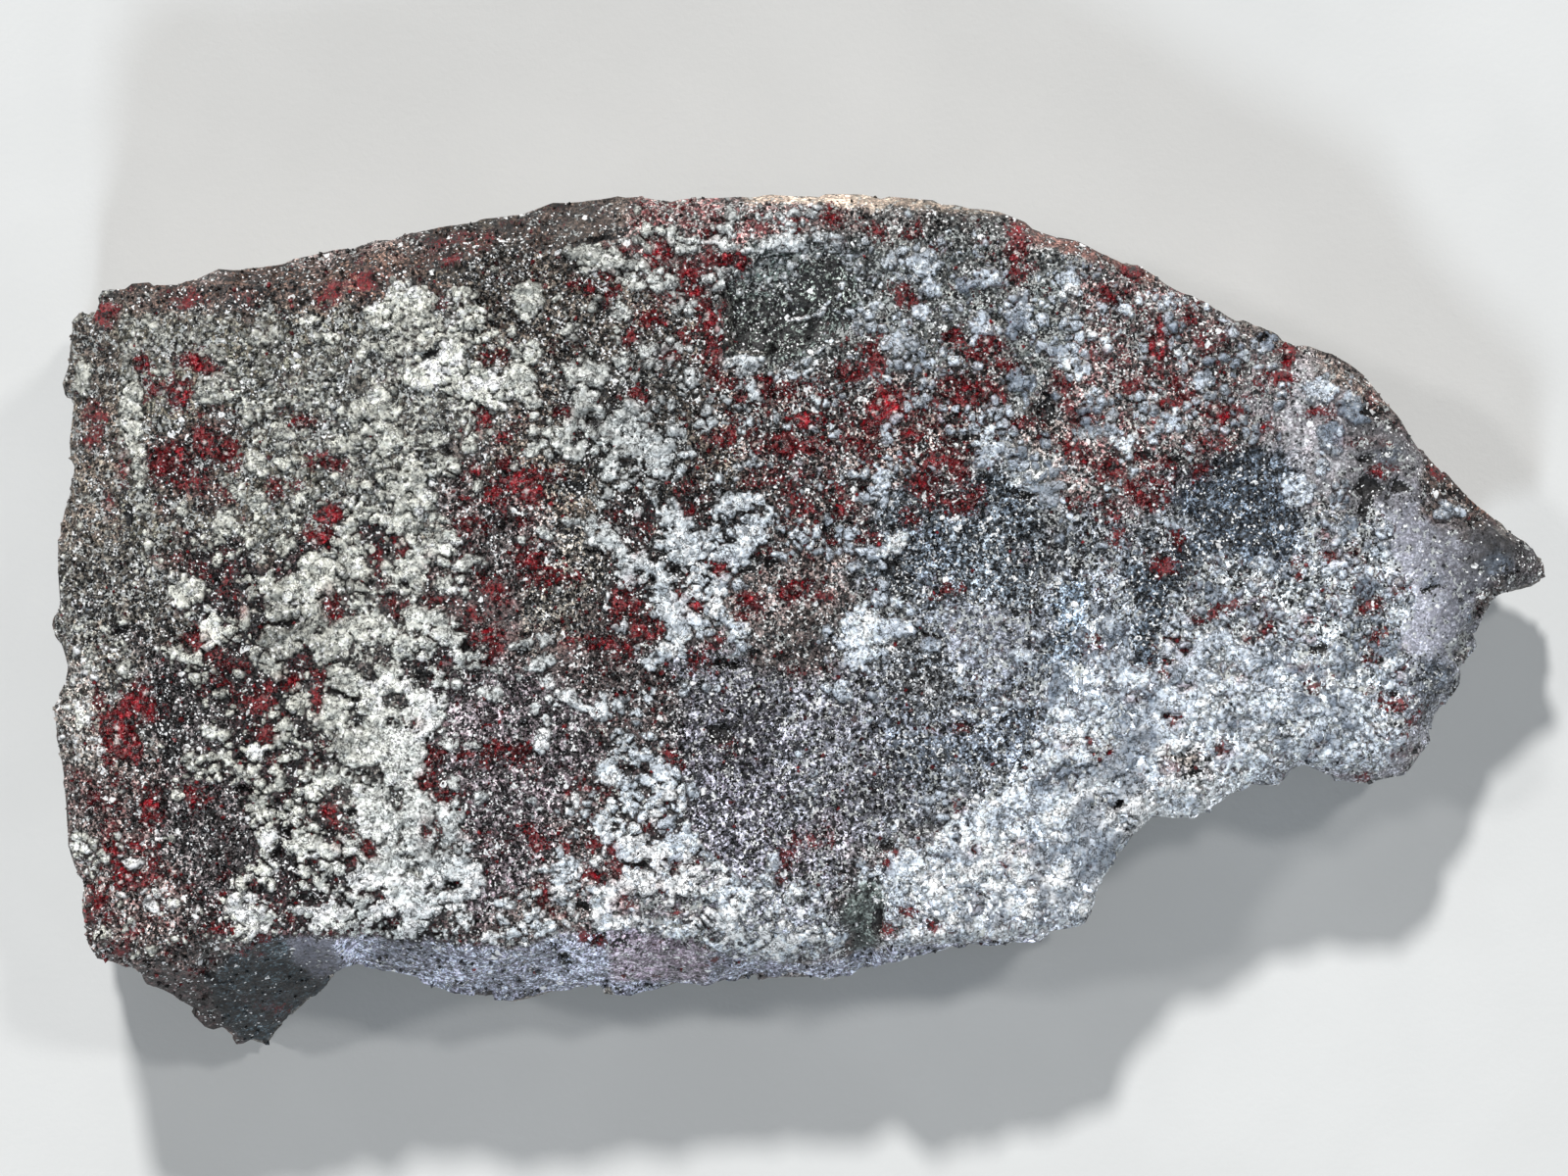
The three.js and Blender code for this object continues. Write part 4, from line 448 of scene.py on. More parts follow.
RED = [
    (-64.5, 16.5, 2.3, 1.6), (-63.5, 14.8, 1, .8), (-61, 18.5, .9, 1.3), (-57.8, 16, .6, .6),
    (-53.5, 13.5, .9, 1.2), (-47.6, 16, .6, .5), (-41.3, 8.2, .9, .8), (-43.7, 6.6, .8, 1),
    (-43, 4.4, .5, .5), (-50.8, 20.8, 1.2, .5), (-41.8, 2, .8, 1.2), (-48.3, 2.2, .8, 1.4),
    (-48, .8, .7, .6), (-37.7, 2.5, 1, .5), (-56, -8, 1.5, 1.1), (-54.5, -6.5, 1.4, .8), (-52.5, -6, 1, .9),
    (-49.5, -8, .6, 1.5), (-49.5, -5.2, .5, .5), (-59.3, -5.7, .8, .7), (-59, -4, 1, .5), (-57, -4, .5, .5),
    (-62, -1.8, 1.4, .9), (-54.3, -11, .8, .8), (-71.7, -8, .5, .8), (-62.2, -17.2, .6, 1),
    (-47.5, -20.6, .7, .7), (-47.3, -22.7, .6, .6), (-44, -23.2, .6, .8), (-59.5, -31, 1, .5),
    (-59.4, -28.7, .4, .6), (-68.5, -25.8, 1.5, .8), (-69.5, -26.8, 1, .5), (-72, -28, 1.3, 1.2),
    (-73, -29.5, .8, .8), (-71, -29.8, .8, .6), (-69.5, -33.2, 1, .5), (-72.5, -17.8, .8, .6),
    (-70.5, -19, .8, .5), (-56.5, -39.1, .4, .4), (-54.7, -39.8, .5, .4), (-56, -32.9, 1, .25, 20),
    (-37.5, -14, 1, 1.3), (-38.3, -15.7, .6, .5), (-39.3, -10.2, .5, .4), (-36.7, -17.5, .9, .8),
    (-38.8, -20.6, .35, .8), (-29, -13.3, 1, .9), (-31.5, -13, 1.2, .8), (-34, -13.5, .8, .6),
    (-22, -16.8, .9, .5), (-24, -17.5, .4, .5), (-21.5, -22.4, 1, .8), (-24.3, -22.9, .5, .5),
    (-21.5, -25.7, 1, .4, -20), (-20.7, -26.2, .5, .3), (-19.3, -25.5, .6, .9), (-19, -24.4, .5, .5),
    (-19.5, -22.8, .5, .5), (-18.3, -27.6, .5, .8), (-26.3, -28.3, .4, .9), (-25.3, -29.7, .6, .3),
    (-15.5, -20.5, .7, .8), (-13.5, -24.3, .5, .25), (-15, -27, .3, .7), (-13.7, -13.3, .9, .8),
    (-22, -32, 1.2, .4), (-9.6, -34.3, .4, .3), (-2, -24.2, .4, .5), (-3, -26.3, .4, .4),
    (-27.5, -22.8, 1, .6), (-33.5, 15.8, .7, .5), (-34.5, 12.8, .5, .6), (-34.3, 10.4, .7, .6),
    (-33, 10.3, .6, .5), (-29, 10.6, .6, .6), (-28, 5, 1.2, .6), (-26.3, 4.5, .7, .5), (-23.3, 4.8, .5, .8),
    (-19.2, 1.5, .8, 1.6), (-18.5, 3, 1, .5), (-17.4, 1.9, 1.1, .9), (-17, 0, .6, .9), (-16.3, -1, 1.3, .9),
    (-21.3, -1.9, .4, .4), (-33, -1.5, 1, .5), (-32, -1.2, .8, .5), (-31.7, -2.8, .8, .9),
    (-31.5, 3.3, .7, .9), (-12.4, 2.4, .8, .35), (-6.3, 1, .5, 1), (-4.8, 2.5, .5, .5), (-9, -2.4, 1, .7),
    (-12, 11.2, .6, .5), (-19, 10.8, .5, .5), (-17.8, 4.3, .6, .3), (-33, 21, .9, .9), (-31, 19, .9, .7),
    (-30.5, 16.5, .9, .6), (-28.5, 15.2, 1.4, .6), (-26.5, 15, 1.2, .6), (-17, 23.2, .9, .7),
    (-24.3, 21.3, .6, .6), (-14, 27.3, .9, .7), (-10, 31.5, 1.1, 2), (-9.5, 29, .9, 1.4),
    (-10.5, 27, .7, .8), (-9.2, 25.7, .9, .8), (-8, 24.5, 1.1, .8), (-12, 29, .7, .7), (-18, 29.3, .8, .8),
    (-15.8, 31, 1.3, .9), (-4, 24.5, .9, 1.4, 30), (-1.6, 24, .6, .9), (-2, 18, 2.3, 1.1),
    (-8, 18.5, .9, 1.2), (-9, 41.3, .7, .5), (-9.5, 39.5, .7, .7), (-20, 33.8, .9, .9),
    (-20.5, 35.5, .9, .5), (-22.2, 34.2, .6, .6), (-37, 32.7, .8, .8), (-31.8, 27, .9, .5),
    (-13.8, 33.3, .7, .4), (10.5, 40, 1.2, .7), (7, 40.1, 1.1, .4), (22, 39, .7, .9), (21, 37.5, .9, 1.1),
    (21.3, 35.3, .5, .9), (10, 34, .7, .5), (10.7, 33, .5, .9), (6.5, 28.7, 1.6, .5), (7.3, 27, 1, 1.3),
    (4.5, 25.8, .9, .5), (15, 29.3, 1.1, .7), (17.3, 27, .6, .6), (14.5, 24.5, .9, .6), (20.5, 26, .6, .4),
    (6.5, 20.5, 1.3, .7), (-1.5, 17.8, 1.6, .7), (6, 18.5, 1.7, .7), (11, 19, 1.1, .7),
    (17, 23.5, 2.6, 1.3), (16.2, 17.3, .9, .5), (22.5, 20.5, 1.4, .6), (26.5, 24.3, .7, .6),
    (26.5, 22.2, .7, .5), (28.8, 21.3, .8, .4), (27.3, 18.2, .9, .5), (28.3, 16.8, .9, .8),
    (31.2, 16, 1, .8), (30.8, 26.7, .8, .5), (28.8, 33, .5, .7), (30.8, 33.5, .9, .7),
    (33.5, 24.5, 1.2, .5), (13, 13, .7, .6), (16, 12, 1.2, .8), (17.3, 13.2, .6, .9), (14.5, 12.3, .9, .5),
    (.5, 11.5, 1, .6), (3.4, 11.5, .6, .6), (10.8, 10.3, .4, .4), (7.2, 8.6, .5, .5), (-1.5, 3, 1.1, .8),
    (14, 3.3, .7, .6), (27.4, 12.3, .4, .6), (34.3, 13.3, 1, 1.1), (31.5, 11.8, 1, .6), (32, 9, .4, .5),
    (36, 12.6, .7, 1), (36, 16, 1.2, .7), (29.6, -2.2, .5, .4), (33.5, -7.8, .7, .5), (36.5, -5, .5, .5),
    (36.5, 6.1, .8, .7), (38.5, 24.5, 1.5, .6, -35), (39, 23.5, 1.1, .4), (37, 22.5, .6, .5),
    (42.4, 22, 1, .7), (47.5, 20.8, .6, .5), (53, 21.7, 1.5, .5), (40.5, 15.2, .7, .5), (36.5, 14, 1, .6),
    (34.8, 12.7, .8, .6), (38, 8.5, .6, .6), (47.5, 25.6, 1.1, .4), (54, 6.9, .7, .5), (50.5, 5.6, .6, .6),
    (56.6, 7.5, .6, .4), (43.6, 2.4, .6, .5), (40.2, .4, .7, .4), (47, -.5, .7, .5), (45.5, -1.7, .9, .5),
    (37.8, -1.7, 1, .4), (39, -2.8, .7, .6), (58.3, 2, .9, .6), (57.7, -3.2, .5, .8), (58.4, -1.5, .5, .5),
    (60.9, -8.6, .8, .6), (58.8, -7.6, .4, .7), (61.8, -10, 1, .45), (52.1, -6.3, .8, .4),
    (43.5, -13.3, .9, .5), (17.3, -23, .6, .6), (20.8, -24.6, .5, .4), (10.5, -29.5, .8, .6),
    (8.7, -24.5, .5, .5), (29, -12, .4, .4), (26.5, -12.3, .6, .3), (31, -13.3, .5, .4), (13, -31, .7, .6),
    (60.6, 3.6, .6, .5), (44.6, 22.6, .4, .5), (38, -10, .5, .6),
]

# Dusky brown-red stain of the ground and the crusts.
STAIN = [
    (14.7, 14.3, 2.2, 1.6), (5, 22, 2, 1.4), (17, 24, 2.2, 1.6), (-9.5, 28.5, 1.6, 2.6),
    (12, 20.5, 2.4, 1.2), (3, 17, 2, 1.6), (-72, 21, 1.5, 2), (-72.5, 18.5, 1.5, 1.2), (-71, 12, .8, 1.5),
    (-71, 31.5, 1.5, 1.3), (-63, 33, 2, 1.4), (-57, 33.3, 1.5, 1.2), (-48.5, 33.5, 1.5, 1.6),
    (-69.3, 16, .5, 1.8), (-38, 5.2, .4, 1.4), (-36, 2.3, 1.3, .8), (-34.3, 1, 1.5, .9),
    (-24, -1.5, 1.4, 1.2), (-73.5, -15.5, 2, 1.2), (-73, -18.5, 1.6, 1), (-66.7, -17, .6, .8),
    (-64.5, 6.5, 1.5, 1), (-57.3, 1.6, 1.2, .7), (-57, 3, .5, 1), (-38, -16, 1.3, 1), (-33, -21.6, 1.8, .6),
    (-31, -22.6, 2, .8), (-27.6, -15, 1.3, 1), (-28, 12, 1.6, .8), (-13.5, -29.6, 1.5, .5),
    (-18, -28.8, 1.5, .8), (-13, -34.5, .6, .4), (1, -22, 3, 1.2), (-1, -5, 2, .8), (2.4, -4.8, 1.4, .9),
    (-7.5, -12.6, 1.4, .8), (16, -10.6, 1.3, .8), (15.8, -18.6, .9, .7), (22.5, -22.9, .9, .6),
    (17.7, -29, .6, .3), (51.6, .5, .9, .6), (52, -1.6, .6, .5), (53.5, 8.7, .9, .6), (46, 2.3, 1.2, .3),
    (47.6, .4, .5, .8), (53.6, -5.4, .7, .5), (50.7, -4.3, .7, .3), (39.2, -6.6, .6, .4),
    (44.5, -5.6, .5, .5), (58.5, 23.1, .6, .9), (62.5, 19, 1.5, .6, -45), (71, 10.6, 2, .4, -38),
    (65, 15.6, 1.2, .6, -50), (-11, 12.5, 1.8, 1), (-5, 14.5, 1.6, 1.2), (-17, 9, 1.6, 2),
    (-.5, 15.5, 1.5, 1), (23, 36.5, .9, .9), (29.8, 27.5, 1.1, .9), (41.5, 29, 2.2, 1.8),
    (42, 18.5, 2.4, 1.4), (36, 26, 2, 1.4), (-35, 38.5, 4, 1.5, 12), (-45, 35.3, 3, 1, 12),
    (57, 18.6, 2.2, .4), (61.5, -2.6, .6, .8), (37.6, -15, 1, .6), (8.5, -31.3, 1, .6),
    (13.3, -10.7, .9, .5), (-64.8, -29.5, .6, .6), (-64.8, -27, .6, .6), (2, 3, 1, .8), (22.3, 6.9, .5, .8),
    (-58.3, 5.6, .7, .7), (-61.2, 5.6, .8, .7), (61.5, -13.4, .8, .4), (57, -15.7, 2.2, .4),
]

# Wide places that are lighter or darker than their field: centre x, y, half widths, and by what factor. They
# are partly the rock's own tone and partly painted light and shade, as on the shaded foot, shoulder and tip and
# the lighter lower part.
LIGHT = [
    # left end: dusky corner and middle, pale ledges, dark hollow left of the pale column, shaded foot
    (-62, 29, 13, 5, .76), (-48, 19.5, 8, 5, .78), (-73, -8, 4.5, 9, 2.5), (-63, 1, 5, 5, 1.5),
    (-53, 0, 4.5, 5, .58), (-70, -27, 6, 6, 1.65), (-60, -39, 8, 5, .4),
    # upper edge: a paler stretch between dusky ones, then the shoulder and the tip in shade
    (-43.5, 37, 5, 3, 1.9), (-32.5, 39, 6.5, 4, .33), (-22.5, 37, 5, 6, .78), (25, 38.5, 7, 4, .72),
    (60.5, 18.5, 6, 5, .34), (72.5, 5.5, 6, 7.5, .24),
    # middle: duller above it, paler round it
    (-34, 26, 5, 8, 1.25), (-19, 21.5, 9, 8, .82), (-37, 10, 8, 5, 1.2), (-9, 3, 9, 7, 1.3),
    (-30, -12, 14, 8, 1.28),
    # right half: pale above the dark flats and at the end
    (28, 27, 9, 8, 1.27), (51, 26, 8, 7, 1.4), (27, 16, 10, 6, 1.4), (15, 8.5, 6, 5, 1.15),
    (62, 0, 5, 5, 1.45), (48, -11, 12, 6, 1.25), (35, -18, 9, 7, 1.8), (21, -27.5, 15, 8, 1.75),
    (22, -11, 8, 4, 1.25),
    # lower rim, lighter partly as painted light
    (-55, -29.5, 11, 5, 1.65), (-33, -29, 6, 6, 1.55), (-18, -28, 10, 8, 1.9), (-4, -30.5, 6, 5, 1.75),
]


# ---------------------------------------------------------------- noise

# What a lattice place and a seed are multiplied by before they are mixed, and the two factors of the mixing.
MIX_STEPS, SEED_STEP, MIXERS = (374761393, 668265263, 1440670441), 974711, (2654435761, 2246822519)

# How far the lattice is moved, so that points at height 0 lie between two of its layers.
SHIFT = 100.37


def lattice(i, seed):
    """A number from 0 to 1 for every whole-numbered place of an N x 3 array."""
    h = sum(i[..., k] * step for k, step in enumerate(MIX_STEPS)) + seed * SEED_STEP
    h = (h & 0xFFFFFFFF) * MIXERS[0] & 0xFFFFFFFF
    h = (h ^ (h >> 15)) * MIXERS[1] & 0xFFFFFFFF
    return ((h ^ (h >> 13)) & 0xFFFFFF) / 0xFFFFFF


def noise(p, size, seed=0):
    """Smooth noise from -1 to 1 whose bumps are about size across."""
    q = p / size + SHIFT
    i = np.floor(q).astype(np.int64)
    f = q - i
    f = f * f * (3 - 2 * f)
    total = 0
    for corner in np.ndindex(2, 2, 2):
        step = np.array(corner)
        weight = np.prod(np.where(step, f, 1 - f), axis=-1)
        total = total + weight * lattice(i + step, seed)
    return total * 2 - 1


def fractal(p, size, seed=0, octaves=3):
    """Noise with finer noise on it, each half as wide and about half as high, from about -1 to 1."""
    total, weight, height = 0, 0, 1.0
    for n in range(octaves):
        total = total + height * noise(p, size / 2**n, seed + 17 * n)
        weight += height
        height *= 0.55
    return total / weight


def cells(p, size, seed=0, layers=3):
    """For scattered cells about size across: distance to the nearest centre and to the next, in cells, the
    vector from the nearest centre in mm, and four numbers from 0 to 1 that belong to the cell. Points that
    lie flat need 1 layer."""
    q = p / size + SHIFT
    i = np.floor(q).astype(np.int64)
    first = np.full(len(p), 9.0)
    second = first.copy()
    away = np.zeros_like(p)
    home = np.zeros_like(i)
    for corner in np.ndindex(3, 3, layers):
        cell = i + np.array(corner) - (1, 1, layers // 2)
        centre = cell + np.stack([lattice(cell, seed + k) for k in (1, 2, 3)], -1)
        d = np.linalg.norm(q - centre, axis=1)
        closer = d < first
        second = np.where(closer, first, np.minimum(second, d))
        first = np.where(closer, d, first)
        away[closer] = (q - centre)[closer] * size
        home[closer] = cell[closer]
    return first, second, away, np.stack([lattice(home, seed + k) for k in (5, 6, 7, 8)], -1)


def ease(x, low=0.0, high=1.0):
    """0 at low and 1 at high, smooth between and flat beyond them. low may be the larger one."""
    t = np.clip((x - low) / (high - low), 0, 1)
    return t * t * (3 - 2 * t)


# ---------------------------------------------------------------- colours


def linear(rgb):
    """sRGB 0 to 255 as the linear numbers that shaders use."""
    c = np.asarray(rgb, float) / 255
    return np.where(c <= 0.04045, c / 12.92, ((c + 0.055) / 1.055) ** 2.4)


def colour(*rgb):
    """An sRGB colour as a linear tuple for a node."""
    return tuple(float(c) for c in linear(rgb))


def painted(base, paint, weight):
    """Colours with a paint over them, by a weight for each."""
    return base + (linear(paint) - base) * weight[:, None]


# ---------------------------------------------------------------- the face as a map

AMOUNTS = ("white", "sugar", "red", "black", "sparkle", "smooth")

# Each list of fields with the softness of its edges and how far wide and fine noise move them, in mm.
LAYERS = ((FIELDS, 2.0, 7.0, 1.6), (PATCHES, 1.0, 3.0, 1.2), (PARTS, 0.3, 0.5, 0.3))

# Each kind of mark with the softness of its edges in mm. A halo lies round every red mark.
HALO = [(x, y, rx + 1.2, ry + 1.0, *turn) for x, y, rx, ry, *turn in SCARLET + RED]
MARKS = {
    "bright": (BRIGHT, 0.4), "pale": (PALE, 0.5), "dull": (DULL, 0.5), "black": (BLACK, 0.2),
    "scarlet": (SCARLET, 0.8), "red": (RED, 0.8), "halo": (HALO, 1.2),
    "stain": (STAIN, 0.6), "blue": (BLUE, 0.6), "tan": (TAN, 0.3),
}


def depth_inside(p, outline):
    """How far inside an outline each point is, in mm, and negative outside it."""
    x, y = p[:, 0], p[:, 1]
    near, inside = np.full(len(p), 1e9), np.zeros(len(p), bool)
    for (ax, ay), (bx, by) in zip(outline, outline[1:] + outline[:1]):
        ex, ey = bx - ax, by - ay
        t = np.clip(((x - ax) * ex + (y - ay) * ey) / (ex * ex + ey * ey), 0, 1)
        near = np.minimum(near, np.hypot(x - ax - t * ex, y - ay - t * ey))
        if ey:
            inside ^= ((ay > y) != (by > y)) & (x < ax + ex * (y - ay) / ey)
    return np.where(inside, near, -near)


def spots(p, places, soft):
    """1 within any of the places, 0 outside them all, with an edge of that softness in mm."""
    found = np.zeros(len(p))
    order = np.argsort(p[:, 0])
    xs = p[order, 0]
    for x, y, rx, ry, *turn in places:
        reach = max(rx, ry) + soft
        i = order[slice(*np.searchsorted(xs, (x - reach, x + reach)))]
        a = math.radians(turn[0]) if turn else 0.0
        u, v = p[i, 0] - x, p[i, 1] - y
        u, v = u * math.cos(a) + v * math.sin(a), v * math.cos(a) - u * math.sin(a)
        inside = (1 - np.hypot(u / rx, v / ry)) * min(rx, ry)
        found[i] = np.maximum(found[i], ease(inside, -soft, soft))
    return found


def flat3(places):
    """Places on the face as points that all lie at one height."""
    return np.column_stack([places, np.zeros(len(places))])


def ragged(p, coarse, fine):
    """The points moved about, so that what is drawn with straight edges gets natural ones."""
    flat = flat3(p[:, :2])
    shift = [coarse * fractal(flat, 6.0, seed, 3) + fine * noise(flat, 1.0, seed + 5) for seed in (31, 47)]
    return p[:, :2] + np.stack(shift, -1)


def light(p):
    """How much lighter or darker than its field each place is, partly as painted light and shade."""
    q = ragged(p, 4.0, 0.8)
    total = np.zeros(len(p))
    for x, y, rx, ry, factor in LIGHT:
        total += math.log(factor) * np.exp(-((q[:, 0] - x) / rx) ** 2 - ((q[:, 1] - y) / ry) ** 2)
    return np.exp(total)


def masks(places):
    """How much each kind of mark covers these places."""
    q = ragged(flat3(places), 0.7, 0.45)
    return {kind: spots(q, rows, soft) for kind, (rows, soft) in MARKS.items()}


class FaceMap:
    """What the ground is made of at every place of the face, worked out on a grid and then read off it."""

    PITCH = 0.3

    def __init__(self):
        self.low = BOX_LOW[:2] - 1
        self.shape = tuple(((BOX_HIGH[:2] + 1 - self.low) / self.PITCH).astype(int) + 1)
        axes = (np.arange(n) * self.PITCH + a for n, a in zip(self.shape, self.low))
        x, y = np.meshgrid(*axes, indexing="ij")
        p = flat3(np.stack([x.ravel(), y.ravel()], -1))
        table = np.zeros((len(p), 6 + len(AMOUNTS)))
        for rows, soft, coarse, fine in LAYERS:
            q = ragged(p, coarse, fine)
            for outline, a, b, amounts in rows:
                weight = ease(depth_inside(q, outline), -soft, soft)
                table += (np.concatenate([linear(a), linear(b), amounts]) - table) * weight[:, None]
        table[:, :6] *= light(p)[:, None]
        self.table = table.reshape(*self.shape, -1)

    def __call__(self, p):
        """Its two colours, linear, and its amounts by name."""
        q = np.clip((p[:, :2] - self.low) / self.PITCH, 0, np.array(self.shape) - 1.001)
        i = q.astype(int)
        (fx, fy), (ix, iy) = (q - i).T[..., None], i.T
        rows = self.table[ix, iy] * (1 - fx) * (1 - fy) + self.table[ix + 1, iy] * fx * (1 - fy)
        rows += self.table[ix, iy + 1] * (1 - fx) * fy + self.table[ix + 1, iy + 1] * fx * fy
        return rows[:, :3], rows[:, 3:6], {name: rows[:, 6 + k] for k, name in enumerate(AMOUNTS)}


def shade(p):
    """Light and dark clouds of the ground, from 5 mm down to 0.6 mm, about 1."""
    return np.exp(1.75 * fractal(flat3(p[:, :2]), 5.0, 111, 4))[:, None]


def painted_gap_shade(p, white_marks, white, most):
    """Painted shade: how much darker the ground is between the white grains, where shade falls, but not at the
    pale right end.
    """
    return np.clip(0.75 * white_marks + 0.85 * white - 0.08, 0, most) * ease(p[:, 0], 18, 4)


ground_at = FaceMap()


# ---------------------------------------------------------------- meshes

# How a triangle with 1, 2 or 3 split edges is cut: 0, 1 and 2 are its corners, and a, b and c the middles of
# the edges from 0 to 1, from 1 to 2 and from 2 to 0.
CUTS = {1: ("0a2", "a12"), 2: ("a1b", "0ab", "0b2"), 3: ("0ac", "a1b", "cb2", "abc")}


def refine(verts, tris, limit):
    """Splits every edge that is longer than limit(its middle) and returns the finer mesh."""
    while True:
        n = len(verts)
        edges = np.sort(np.stack([tris[:, [0, 1]], tris[:, [1, 2]], tris[:, [2, 0]]], 1), axis=2)
        keys, where = np.unique(edges[..., 0] * n + edges[..., 1], return_inverse=True)
        where = where.reshape(-1, 3)
        a, b = keys // n, keys % n
        middle = (verts[a] + verts[b]) / 2
        split = np.linalg.norm(verts[a] - verts[b], axis=1) > limit(middle)
        if not split.any():
            return verts, tris
        index = np.full(len(keys), -1)
        index[split] = n + np.arange(split.sum())
        verts = np.vstack([verts, middle[split]])
        # Each triangle is turned so that its split edges come first, and then cut.
        mids = index[where]
        count = (mids >= 0).sum(1)
        turn = np.where(count == 2, (np.argmin(mids >= 0, 1) + 1) % 3, 0)
        turn = np.where(count == 1, np.argmax(mids >= 0, 1), turn)
        columns = (turn[:, None] + np.arange(3)) % 3
        corners, mids = np.take_along_axis(tris, columns, 1), np.take_along_axis(mids, columns, 1)
        parts = [corners[count == 0]]
        for k, shapes in CUTS.items():
            own = np.concatenate([corners[count == k], mids[count == k]], 1)
            parts += [own[:, ["012abc".index(letter) for letter in shape]] for shape in shapes]
        tris = np.vstack(parts)


def normals(verts, tris):
    """A unit normal for each vertex, weighted by area."""
    a, b, c = (verts[tris[:, k]] for k in range(3))
    face = np.cross(b - a, c - a)
    total = np.zeros_like(verts)
    for k in range(3):
        for axis in range(3):
            total[:, axis] += np.bincount(tris[:, k], face[:, axis], len(verts))
    return total / np.maximum(np.linalg.norm(total, axis=1, keepdims=True), 1e-12)


def neighbour_mean(values, tris, rounds, weight):
    """The values, each drawn towards the mean of its neighbours by its weight, that many times."""
    pairs = np.vstack([tris[:, [0, 1]], tris[:, [1, 2]], tris[:, [2, 0]]])
    pairs = np.vstack([pairs, pairs[:, ::-1]])
    count = np.bincount(pairs[:, 0], minlength=len(values))
    for _ in range(rounds):
        mean = np.bincount(pairs[:, 0], values[pairs[:, 1]], len(values)) / count
        values = values + (mean - values) * weight
    return values


def make_piece(name, verts, tris, material, slot, smooth=True, **layers):
    """A mesh object from millimetres, kept within the CAD's box, that rides on the rock. Layers are colours,
    one for each vertex."""
    mesh = bpy.data.meshes.new(name)
    mesh.vertices.add(len(verts))
    mesh.vertices.foreach_set("co", (np.clip(verts, BOX_LOW, BOX_HIGH) * MM).ravel())
    mesh.loops.add(tris.size)
    mesh.loops.foreach_set("vertex_index", tris.ravel().astype(np.int32))
    mesh.polygons.add(len(tris))
    mesh.polygons.foreach_set("loop_start", np.arange(0, tris.size, 3, dtype=np.int32))
    mesh.polygons.foreach_set("use_smooth", np.full(len(tris), smooth))
    for key, colours in layers.items():
        rgba = np.ones((len(verts), 4))
        rgba[:, : colours.shape[1]] = colours
        mesh.attributes.new(key, "FLOAT_COLOR", "POINT").data.foreach_set("color", rgba.ravel())
    mesh.update(calc_edges=True)
    mesh.materials.append(material)
    piece = bpy.data.objects.new(name, mesh)
    bpy.context.scene.collection.objects.link(piece)
    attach(piece, "root")
    return piece


def node_mesh(name):
    """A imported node's vertices in mm and triangles, with the vertices that share a place made one."""
    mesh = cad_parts[name].data
    mesh.calc_loop_triangles()
    co = np.zeros(len(mesh.vertices) * 3)
    mesh.vertices.foreach_get("co", co)
    tris = np.zeros(len(mesh.loop_triangles) * 3, np.int32)
    mesh.loop_triangles.foreach_get("vertices", tris)
    places, index = np.unique(np.round(co.reshape(-1, 3) / MM, 4), axis=0, return_inverse=True)
    tris = index.reshape(-1)[tris].reshape(-1, 3)
    whole = (tris[:, 0] != tris[:, 1]) & (tris[:, 1] != tris[:, 2]) & (tris[:, 2] != tris[:, 0])
    return places, tris[whole].astype(np.int64)


# ---------------------------------------------------------------- materials


